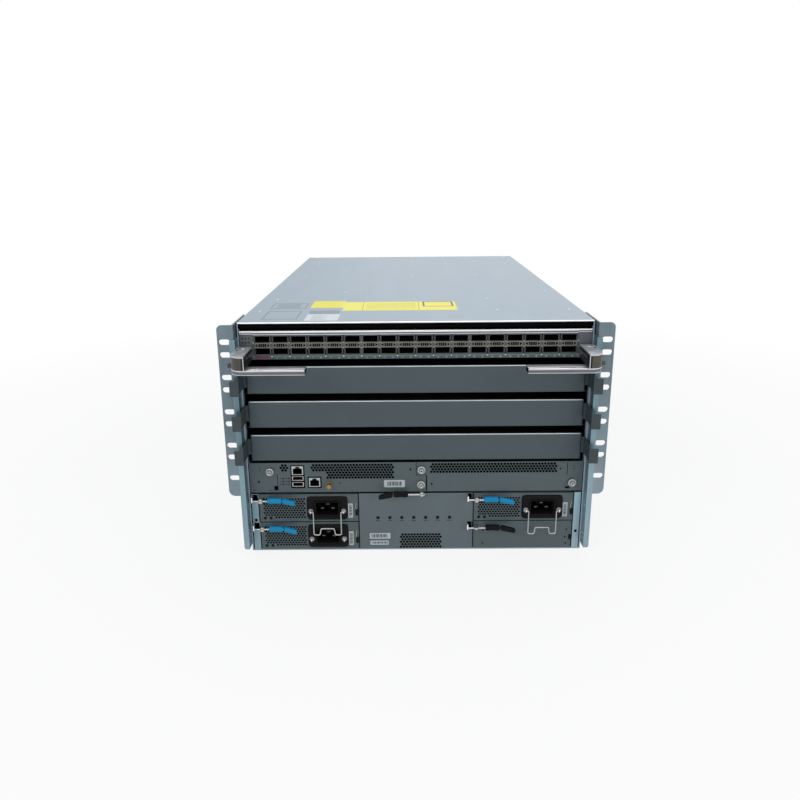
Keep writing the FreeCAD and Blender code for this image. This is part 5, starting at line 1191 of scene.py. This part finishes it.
def swing_lever(name, grip, pivot, way, bar, reach, start, claw):
    """A flat steel handle about a pin, its hooked claw one way and a two-part moulded grip the
    other: sections (along, away from the front, thick, tall) carried along x."""
    piece = Piece(name + "_shape")
    end, back = pivot - way*reach, -5.6
    piece.pad((end, pivot + way*(start + 21)), (bar, bar + 2), (back - 2.4, back), 0.5, FIN.steel,
              0.2, axis="x")
    piece.add(lathed([(1.6, 0.05), (3.2, 0.05), (3.2, 1.95), (1.6, 1.95)],
                     (pivot, FRONT - LEVER_AWAY, bar), "z", 24), FIN.steel)
    if claw:
        foot, tall = claw
        piece.pad((end, end + way*2), (foot, foot + tall), (back - 2.8, back + 1.8), 0.6,
                  FIN.bright, 0.4, axis="x")
    first = ((0, 7.1, 4.8, 5.2), (0.8, 7.1, 6.4, 6.6), (2.5, 7.1, 7.0, 7.4),
             (9, 7.0, 6.2, 7.2), (15.5, 7.2, 7.0, 7.4), (18, 7.4, 6.6, 7.0), (19, 7.6, 5.0, 5.6))
    second = ((20.2, 8.0, 4.8, 5.4), (21.2, 8.4, 6.2, 6.8), (24, 9.6, 6.8, 7.2),
              (30, 12.6, 6.4, 6.8), (35, 15.2, 6.2, 6.6), (37, 16.4, 5.4, 5.8),
              (38, 17.2, 3.6, 4.2))
    for sections in (first, second):
        piece.add(stacked([(pivot + way*(start + along), FRONT - away, bar + 1.6, thick, tall, 2.2)
                           for along, away, thick, tall in sections], "x", 5), grip)
    piece.build(body_of(name), name, smooth=50)


class SWITCH_OT_power(bpy.types.Operator):
    """Builds the power modules: vented cases, moulded inlets, bails, levers and labels"""
    bl_idname = "switch.power"
    bl_label = "Power modules"

    PIVOT, BAR = 3, 31.6  # a lever's pin from the left edge and its bar from the foot
    REACH, CLAW, CLAW_TALL = 12.4, 30.4, 7.4  # a lever's reach, and its claw from the foot
    PITCH, RISE, FLAT = 3.78, 3.25, 2.75  # a module's vent
    HOLLOW = 62.0  # depth of a case behind its vent
    EYE = 21.6  # an inlet's eyes, each way from its middle

    def execute(self, context):
        for name in ("power_1", "power_2", "power_3"):
            low, high = span(name + "_case")
            self.face(name, low, high)
            self.marks(name, low, high)
            self.inlet(name + "_inlet")
            if name + "_bail" in frame["nodes"]:
                self.bail(name + "_bail", context.scene.switch_sizes.wire/MM)
            self.lever(name, FIN.blue, low, 9)
        low, high = span("power_blank")
        softened("power_blank", FIN.case, 0.35)
        self.lever("power_blank", FIN.black, low, 12)
        marks = Piece("power_blank_marks")
        for x, z in ((88.9, 28.0), (89.1, 8.8), (200.1, 28.4), (198.6, 17.2), (200.0, 8.2)):
            marks.hole(x, z, 1.1, 0.3, 12)
        marks.pad((high[0] - 3.2, high[0] - 0.2), (14, 21), (-1.2, 0.4), 0.8, FIN.black, 0.3)
        marks.build(body_of("power_blank"))
        return {"FINISHED"}

    def lever(self, name, grip, corner, start):
        left, _, foot = corner
        swing_lever(name + "_lever", grip, left + self.PIVOT, 1, foot + self.BAR, self.REACH,
                    start, (foot + self.CLAW, self.CLAW_TALL))

    def face(self, name, low, high):
        """A module's vented face, its hollow case, near black inside as painted shade with a
        near-black plate of painted shade behind the vent, and the lever's mount.
        """
        (left, _, foot), (right, far, head) = low, high
        inlet_low, inlet_high = span(name + "_inlet")
        vents = foot + 4.4
        piece = Piece(name + "_face")
        piece.sheet((left, right), (foot, head), FIN.case, (
            (inlet_low[0] + 0.5, inlet_high[0] - 0.5, inlet_low[2] + 0.5, inlet_high[2] - 0.5),),
            (left + 4.4, vents, 15, 9, self.PITCH, self.RISE, self.FLAT, 0,
             lambda x, z: (x > left + 18) | (z > vents + 1.2*self.RISE)))
        case = ((far - FRONT, 0, 0.6), (SHEET, 0, 0.6), (SHEET, 1.6, 0.4),
                (self.HOLLOW, 1.6, 0.4))
        # painted shade: a near-black skin just inside the case walls
        shade_lining = ((self.HOLLOW - 1, 1.8, 0.4), (1.6, 1.8, 0.4), (1.6, 2.4, 0.4),
                  (self.HOLLOW - 2, 2.4, 0.4))
        for rings, finish in ((case, FIN.inner), (shade_lining, FIN.pit)):
            piece.loft((left + right)/2, (foot + head)/2, [
                (depth, right - left - inset, head - foot - inset, radius)
                for depth, inset, radius in rings], 2, finish)
        lever_mount(piece, left + self.PIVOT, foot + self.BAR, (-1.5, 2.5), 4.3)
        # painted shade: a near-black plate behind the vent
        piece.box((left + 1.6, inlet_low[0] - 1), (foot + 2, head - 2), (4, 4.4), FIN.pit)
        piece.build(body_of(name + "_case"), name + "_case")

    def marks(self, name, low, high):
        """Two lamps, a ruled label, a latch and its wire."""
        left, foot, right = low[0], low[2], high[0]
        edge = span(name + "_inlet")[1][0] + 0.9
        piece = Piece(name + "_marks")
        for x in (left + 6.6, left + 14.2):
            piece.turned([(2.1, 0.1), (2.1, -0.25), (1.7, -0.3), (1.5, -0.1), (0.2, -0.2)],
                         x, foot + 5.1, 20, FIN.lens)
        piece.pad((edge, edge + 6.3), (foot + 5.2, foot + 25.4), (-0.3, 0.1), 0.8, FIN.badge)
        piece.bars(foot + 7.2, 1.5, 11, 0.5, 0.3, (edge + 1.2, edge + 5.1), 0.36, True)
        piece.pad((right - 3.4, right - 0.3), (foot + 8.5, foot + 17.5), (-1.4, 0.4), 1.0,
                  FIN.black, 0.3)
        wire = [(right - inwards, FRONT - away, foot + level) for inwards, away, level
                in ((2.6, 1.0, 17), (3.0, 1.2, 22), (2.0, 0.8, 27))]
        piece.add(tube(wire, 0.35, (0, 1, 0), 6), FIN.steel)
        piece.build(body_of(name + "_case"))

    def inlet(self, name):
        """One loft from the back, over the flange and collar, down into the socket's hollow."""
        low, high = span(name)
        middle, level = (low[0] + high[0])/2, (low[2] + high[2])/2
        wide, tall = high[0] - low[0], high[2] - low[2]
        piece = Piece(name + "_shape")
        piece.loft(middle, level, (
            (26, wide - 1.4, tall - 1.4, 3), (1.2, wide - 1.4, tall - 1.4, 3),
            (0.0, wide - 1.4, tall - 1.4, 3), (0.0, wide + 0.6, tall + 0.2, 5.2),
            (-1.6, wide + 0.6, tall + 0.2, 5.2), (-2.6, wide - 0.8, tall - 1.2, 4.6),
            (-3.0, wide - 3.4, tall - 3.8, 3.6), (-3.0, 36.5, 24.0, 2.6), (-2.4, 35.6, 23.0, 2.4),
            (-2.4, 34.0, 21.6, 2.4), (-3.6, 33.2, 20.8, 2.0), (-3.6, 30.6, 18.8, 1.6),
            (-2.8, 29.6, 18.0, 1.4), (20, 29.0, 17.4, 1.2)), 5, FIN.inlet)
        # painted shade: the pins take a finish that darkens with depth into the socket
        for x, z in ((middle - 7, level - 3), (middle + 7, level - 3), (middle, level + 3)):
            piece.pad((x - 2.2, x + 2.2), (z - 0.6, z + 0.6), (5, 19), 0.4, FIN.pin, 0.3)
        eye, wire = low[2] + 0.4*tall, 0.75
        ring = np.arange(20)*2*np.pi/20
        for x in (middle - self.EYE, middle + self.EYE):
            piece.turned([(3.6, -1.5), (3.6, -3.4), (3.2, -4.2), (1.8, -4.8), (0.4, -5.0)],
                         x, eye, 24, FIN.nut)
            loop = placed(1.75*np.cos(ring), 1.75*np.sin(ring), 0.0, "x")
            piece.add(tube(loop + (x, FRONT - 7, eye), wire, (1, 0, 0), 8, True), FIN.steel)
            for foot in (x - 1, x + 1):
                piece.turned([(0.9, 0), (0.9, 0.4)], foot, eye, 8, FIN.steel, FRONT - 5.2)
        piece.build(body_of(name), name)

    def bail(self, name, wire):
        """A wire bail hanging from its two hinge ends, with a step up between its feet."""
        low, high = span(name)
        middle, y, hinge = (low[0] + high[0])/2, (low[1] + high[1])/2, high[2] - wire
        half, leg, drop, rise = 21.6, 18.2, 32.6, 9.0
        outline = [(-half, 0), (-leg, 0), (-leg, -drop), (8 - leg, -drop),
                   (9.5 - leg, rise - drop), (leg - 9.5, rise - drop), (leg - 8, -drop),
                   (leg, -drop), (leg, 0), (half, 0)]
        path = filleted([(middle + u, y, hinge + v) for u, v in outline],
                        (1.6, 2.6, 2.2, 1.8, 1.8, 2.2, 2.6, 1.6), 6)
        piece = Piece(name + "_shape")
        piece.add(tube(path, wire, (0, 1, 0), 12), FIN.wire)
        piece.build(name, name)


class SWITCH_OT_lamp_panel(bpy.types.Operator):
    """Builds the lamp panel between the power bays, with its vent, lamps and labels"""
    bl_idname = "switch.lamp_panel"
    bl_label = "Lamp panel"

    LAMPS, PITCH, LEVEL = 7, 15.8, 47.0  # how many lamps, how far apart and how high
    RISE = 3.6  # between the rows of the vent
    FLANGE = 14.0  # depth of the folded sides
    GAP = 5.0  # depth of the gaps for the levers' claws

    def execute(self, context):
        sizes = context.scene.switch_sizes
        low, (half, _, head) = span("centre_panel")
        foot = low[2]
        first, second = (foot + 29.7, foot + 39.1), (foot + 70.1, foot + 79.5)
        piece = Piece("lamp_panel_face")
        piece.sheet((-half, half), (foot, head), FIN.lamp_panel,
                    [(half - 6.8, half, *gap) for gap in (first, second)],
                    (-22.0, foot + 0.6, 14, 6, sizes.vent_pitch/MM, self.RISE,
                     sizes.vent_flat/MM, 0, None))
        piece.box((-half, SHEET - half), (foot, head), (SHEET, self.FLANGE), FIN.lamp_panel)
        piece.box((half - SHEET, half), (foot, head), (self.GAP, self.FLANGE), FIN.lamp_panel)
        for up in ((foot, first[0]), (first[1], second[0]), (second[1], head)):
            piece.box((half - SHEET, half), up, (SHEET, self.GAP), FIN.lamp_panel)
        # painted shade: a near-black plate behind the vent
        piece.box((-34, 46), (foot, foot + 26), (3, 3.6), FIN.pit)
        piece.build("chassis", "centre_panel")
        lamps = Piece("panel_lamp_lenses")
        for lamp in range(self.LAMPS):
            x = self.PITCH*(lamp - 3) - 3
            dash = 4.3 if lamp == self.LAMPS - 1 else 2.8
            lamps.turned([(2.3, 0.1), (2.3, -0.2), (2.0, -0.3), (1.5, -0.2), (1.1, -0.5),
                          (0.2, -0.6)], x, self.LEVEL, 20, FIN.lens)
            lamps.pad((x - dash, x + dash), (self.LEVEL - 4.8, self.LEVEL - 3.8), PRINT, 0.2,
                      FIN.ink)
        lamps.build("chassis", "panel_lamps")
        labels = Piece("panel_labels")
        for left, right, foot, head in ((-61.9, -34.2, 16.2, 24.5), (-61.0, -36.4, 7.2, 13.4)):
            labels.pad((left, right), (foot, head), (-0.25, 0.1), 1.0, FIN.badge)
            labels.bars(left + 2.4, 1.55, 14, 0.5, 0.35, (foot + 1.8, head - 1.6), 0.32)
        labels.build("chassis")
        return {"FINISHED"}


class SWITCH_OT_rear_work(bpy.types.Operator):
    """Builds the rotors, finger guards and rear fasteners, and the ears' and posts' small work"""
    bl_idname = "switch.rear_work"
    bl_label = "Rear work"

    BLADES = 7
    HUB, TIP = 19, 48.4  # a blade's inner and outer radius
    THIN, CAMBER, LEAN = 0.9, 1.6, 0.25  # a blade's half thickness, rise and sweep in radians

    def execute(self, context):
        for tray in (1, 2, 3):
            for level in ("lower", "upper"):
                self.rotor(f"fan_{tray}_{level}")
            self.guards(tray)
        for side in (1, 2):
            self.controller(f"system_controller_{side}")
        self.fasteners()
        return {"FINISHED"}

    def rotor(self, node):
        """Hub and blades. A blade's section at radius r is a thin ellipse, chord c wide, turned by
        a pitch that falls from 48 to 30 degrees, and wrapped round the axis by c/r."""
        low, high = span(node)
        x, y, z = (low + high)/2
        half = (high[1] - low[1])/2
        piece = Piece(node + "_shape")
        piece.turned([(19.0, half - 0.2), (20, half - 1), (20, 3 - half), (18.6, 0.9 - half),
                      (15, 0.1 - half), (4, -half)], x, z, 32, FIN.fan, y)
        radius = np.linspace(self.HUB, self.TIP, 7)[:, None]
        share = (radius - self.HUB)/(self.TIP - self.HUB)
        pitch, chord = np.radians(48 - 18*share), 22 + 9*share
        around = np.arange(14)*2*np.pi/14
        along_chord = chord/2*np.cos(around)
        across = self.THIN*np.sin(around) + self.CAMBER*(1 - (2*along_chord/chord)**2)
        axial = along_chord*np.sin(pitch) + across*np.cos(pitch)
        sweep = (along_chord*np.cos(pitch) - across*np.sin(pitch))/radius + self.LEAN*share
        for blade in range(self.BLADES):
            turn = sweep + 2*np.pi*blade/self.BLADES
            piece.add(carried(np.stack([x + radius*np.cos(turn), y + axial*0.92,
                                        z + radius*np.sin(turn)], -1)), FIN.fan)
        piece.build(body_of(node), node)

    def guards(self, tray):
        """Wire guards of four rings and four spokes over each mouth, with screws and a lamp."""
        node = f"fan_tray_{tray}"
        body = body_of(node)
        piece = Piece(node + "_guards")
        turn = np.arange(40)*2*np.pi/40
        wire, outwards, spoke = 0.8, (0, 1, 0), 50
        for level in ("lower", "upper"):
            fan_low, fan_high = span(f"fan_{tray}_{level}")
            centre = (fan_low + fan_high)/2
            middle = np.array([centre[0], REAR + 3.0, centre[2]])
            for radius in (12, 22, 32, 42):
                ring = placed(radius*np.cos(turn), radius*np.sin(turn), 0.0, "y") + middle
                piece.add(tube(ring, wire, outwards, 8, True), FIN.wire)
            for angle in np.radians([45, 135]):
                reach = spoke*np.array([math.cos(angle), 0, math.sin(angle)])
                ends = middle + np.array([-1, -0.5, 0, 0.5, 1])[:, None]*reach
                ends[[0, -1], 1] -= 1.2
                piece.add(tube(ends + (0, 0.9, 0), wire, outwards, 8), FIN.wire)
                for side in (-1, 1):
                    at = middle + side*reach*0.98
                    piece.turned([(3.0, 0), (3.0, 1.0), (2.2, 2.2), (0.4, 2.6)], at[0], at[2], 16,
                                 FIN.steel, REAR_SKIN)
        piece.build(body)
        marks = Piece(node + "_marks")
        low, high = span(node)
        x = (low[0] + high[0])/2
        for side in (-1, 1):
            for z in (low[2] + 6, high[2] - 6):
                marks.turned([(4.2, 0), (4.2, 2.5), (3.8, 3.2), (3.2, 3.4), (2.6, 5.6),
                              (0.6, 6.0)], x + side*60, z, 24, FIN.steel, REAR_SKIN, 12, 0.05)
        marks.turned([(1.8, 0), (1.8, 0.6), (1.2, 1.1), (0.2, 1.2)], x + 44,
                     (low[2] + high[2])/2, 16, FIN.clear, REAR + 1.1)
        marks.build(body)

    def controller(self, node):
        """Captive screws, status lamps, a ruled label and slots on a rear controller."""
        (left, _, foot), (right, _, head) = span(node)
        piece = Piece(node + "_marks")
        for side in (-1, 1):
            piece.turned([(4.6, 0), (4.6, 2.5), (4.0, 3.4), (3.2, 3.6), (2.6, 6.0), (0.6, 6.4)],
                         (left + right)/2 + side*92, (foot + head)/2, 24, FIN.steel, REAR_SKIN,
                         12, 0.05)
        for x in left + 30 + 7*np.arange(3):
            piece.turned([(1.5, 0), (1.5, 0.5), (1.0, 0.9), (0.2, 1.0)], x, head - 12, 14,
                         FIN.clear, REAR + 1.1)
        plates = [((right - 62, right - 30), (head - 22, head - 10), (1.0, 1.4), 1.5, FIN.white)]
        plates += [((x, x + 1.2), (head - 19, head - 13), (1.0, 1.5), 0.2, FIN.grey)
                   for x in right - 58 + 2.8*np.arange(9)]
        # painted shade: the slots are near-black pads
        plates += [((x, x + 9), (foot + 8, foot + 11), (1.05, 1.35), 1.4, FIN.pit)
                   for x in left + 24 + 13*np.arange(12)]
        for item in plates:
            piece.pad(*item, face=REAR)
        piece.build(body_of(node))

    def fasteners(self):
        """Heads on the brackets' side flanges, screws in the shell's sides, and two holes."""
        piece = Piece("bracket_screws")
        head = np.array([(3.4, 0), (3.4, 0.8), (2.4, 1.6), (0.5, 1.9)])
        for side in (-1, 1):
            for distances, levels, x, size, sides, finish in (
                    ((28, 46), (112, 164, 216, 268), 223.4, (1, side), 16, FIN.steel),
                    ((90, 260, 430, 600, 735), (22, 155, 288), 219.65, (0.75, 0.6*side), 12,
                     FIN.bright)):
                for y in distances:
                    for z in levels:
                        piece.add(lathed(head*size, (side*x, FRONT + y, z), "x", sides), finish)
        piece.hole(-212.2, 44.5, 2.0, 0.4, 16)
        piece.hole(212.2, 26, 2.0, 0.4, 16)
        piece.build("chassis")


class SWITCH_OT_stage(bpy.types.Operator):
    """Sets the floor, lamps, world and camera"""
    bl_idname = "switch.stage"
    bl_label = "Stage"

    def execute(self, context):
        self.floor()
        self.world(context)
        self.lamps()
        self.camera(context)
        context.scene.view_settings.view_transform = "Standard"
        return {"FINISHED"}

    def floor(self):
        """A disc just under the feet: ring i has radius r(i), with points (r cos a, r sin a)."""
        radius = np.array([0.01, 0.3, 0.6, 1.0, 1.5, 2.2, 3.5, 6.0])/MM
        angle = np.arange(48)*2*np.pi/48
        rings = placed(radius[:, None]*np.cos(angle), radius[:, None]*np.sin(angle), -0.4, "z")
        points, faces = carried(rings)
        mesh = bpy.data.meshes.new("floor")
        mesh.from_pydata((points*MM).tolist(), [], faces[:-1])
        finish = Finish("floor_paper", (0.86, 0.86, 0.86), 0.9)
        away = finish.node("ShaderNodeVectorMath", {"operation": "LENGTH"},
                           {0: finish.coordinates}, 1)
        grain = finish.noise(40, detail=2)
        finish.feed(base_color=finish.mix(grain, (0.85, 0.85, 0.85), (0.87, 0.87, 0.87)))
        fade = finish.ramp((away - 0.5)*(1/0.9), (0.0, 0.85), (1.0, 1))
        rays = self.seen(finish.tree)
        glow = finish.node("ShaderNodeEmission", {}, {"Color": (1, 1, 1, 1), "Strength": 1.0})
        surface = Signal(finish, finish.shader.outputs[0])
        blend = finish.node("ShaderNodeMixShader", {},
                            {0: fade*Signal(finish, rays), 1: surface, 2: glow})
        output = next(n for n in finish.tree.nodes if n.type == "OUTPUT_MATERIAL")
        finish.tree.links.new(blend.socket, output.inputs["Surface"])
        mesh.materials.append(finish.material)
        floor = bpy.data.objects.new("floor", mesh)
        bpy.context.scene.collection.objects.link(floor)

    def world(self, context):
        """A soft grey surround that the camera, and mirrors, see as white."""
        world = bpy.data.worlds.new("surround")
        context.scene.world = world
        world.use_nodes = True
        tree = world.node_tree
        tree.nodes.clear()
        blend = tree.nodes.new("ShaderNodeMixShader")
        tree.links.new(self.seen(tree), blend.inputs[0])
        for place, colour, strength in ((1, (0.9, 0.95, 1.0, 1), 0.36), (2, (1, 1, 1, 1), 1.0)):
            light = tree.nodes.new("ShaderNodeBackground")
            light.inputs["Color"].default_value = colour
            light.inputs["Strength"].default_value = strength
            tree.links.new(light.outputs[0], blend.inputs[place])
        output = tree.nodes.new("ShaderNodeOutputWorld")
        tree.links.new(blend.outputs[0], output.inputs["Surface"])

    def seen(self, tree):
        """One for what the camera sees, straight or in metal and glass, nought for the rest."""
        path = tree.nodes.new("ShaderNodeLightPath")
        seen = path.outputs["Is Camera Ray"]
        for ray in ("Is Glossy Ray", "Is Transmission Ray"):
            either = tree.nodes.new("ShaderNodeMath")
            either.operation = "MAXIMUM"
            tree.links.new(seen, either.inputs[0])
            tree.links.new(path.outputs[ray], either.inputs[1])
            seen = either.outputs[0]
        return seen

    def lamps(self):
        for name, place, aim, width, watts in (
                ("top_panel", (0.0, -0.3, 3.2), (0, 0, 0.3), 2.6, 27),
                ("front_left", (-2.2, -3.2, 2.2), (0, -0.3, 0.15), 2.0, 38),
                ("front_right", (2.6, -2.8, 1.4), (0, -0.3, 0.15), 2.0, 28),
                ("back_panel", (0.6, 3.4, 2.0), (0, 0.3, 0.15), 2.4, 15)):
            lamp = bpy.data.lights.new(name, "AREA")
            lamp.shape = "SQUARE"
            lamp.size = width
            lamp.energy = watts
            thing = bpy.data.objects.new(name, lamp)
            thing.location = place
            ahead = Vector(aim) - Vector(place)
            thing.rotation_euler = ahead.to_track_quat("-Z", "Y").to_euler()
            bpy.context.scene.collection.objects.link(thing)

    def camera(self, context):
        """Looks along a heading near +Y, a little down, almost level."""
        yaw, pitch, roll = -0.0058, 0.2943, -0.0089
        ahead = Vector((math.sin(yaw)*math.cos(pitch), math.cos(yaw)*math.cos(pitch),
                        -math.sin(pitch)))
        level = Vector((math.cos(yaw), -math.sin(yaw), 0))
        above = level.cross(ahead)
        right = level*math.cos(roll) + above*math.sin(roll)
        up = above*math.cos(roll) - level*math.sin(roll)
        camera = bpy.data.cameras.new("camera")
        camera.lens = 33.42
        camera.sensor_width = 36
        thing = bpy.data.objects.new("camera", camera)
        turn = Matrix((right, up, -ahead)).transposed().to_4x4()
        thing.matrix_world = Matrix.Translation((-0.0146, -1.2723, 0.4818)) @ turn
        context.scene.collection.objects.link(thing)
        context.scene.camera = thing


class SWITCH_PT_panel(bpy.types.Panel):
    """The switch's sizes, colours and pieces"""
    bl_idname = "SWITCH_PT_panel"
    bl_label = "Chassis switch"
    bl_space_type = "VIEW_3D"
    bl_region_type = "UI"
    bl_category = "Switch"

    def draw(self, context):
        for group in (context.scene.switch_sizes, context.scene.switch_colours):
            for name in group.__annotations__:
                self.layout.prop(group, name)
        for operator in OPERATORS:
            self.layout.operator(operator.bl_idname)


OPERATORS = (
    SWITCH_OT_frame_finishes,
    SWITCH_OT_sheet_metal,
    SWITCH_OT_cover_marks,
    SWITCH_OT_line_card,
    SWITCH_OT_supervisor,
    SWITCH_OT_power,
    SWITCH_OT_lamp_panel,
    SWITCH_OT_rear_work,
    SWITCH_OT_stage,
)
CLASSES = (SwitchColours, SwitchSizes, *OPERATORS, SWITCH_PT_panel)


def register():
    for each in CLASSES:
        bpy.utils.register_class(each)
    bpy.types.Scene.switch_colours = bpy.props.PointerProperty(type=SwitchColours)
    bpy.types.Scene.switch_sizes = bpy.props.PointerProperty(type=SwitchSizes)


def unregister():
    del bpy.types.Scene.switch_sizes
    del bpy.types.Scene.switch_colours
    for each in reversed(CLASSES):
        bpy.utils.unregister_class(each)


def main():
    register()
    for operator in OPERATORS:
        family, action = operator.bl_idname.split(".")
        getattr(getattr(bpy.ops, family), action)()


if __name__ == "__main__":
    main()
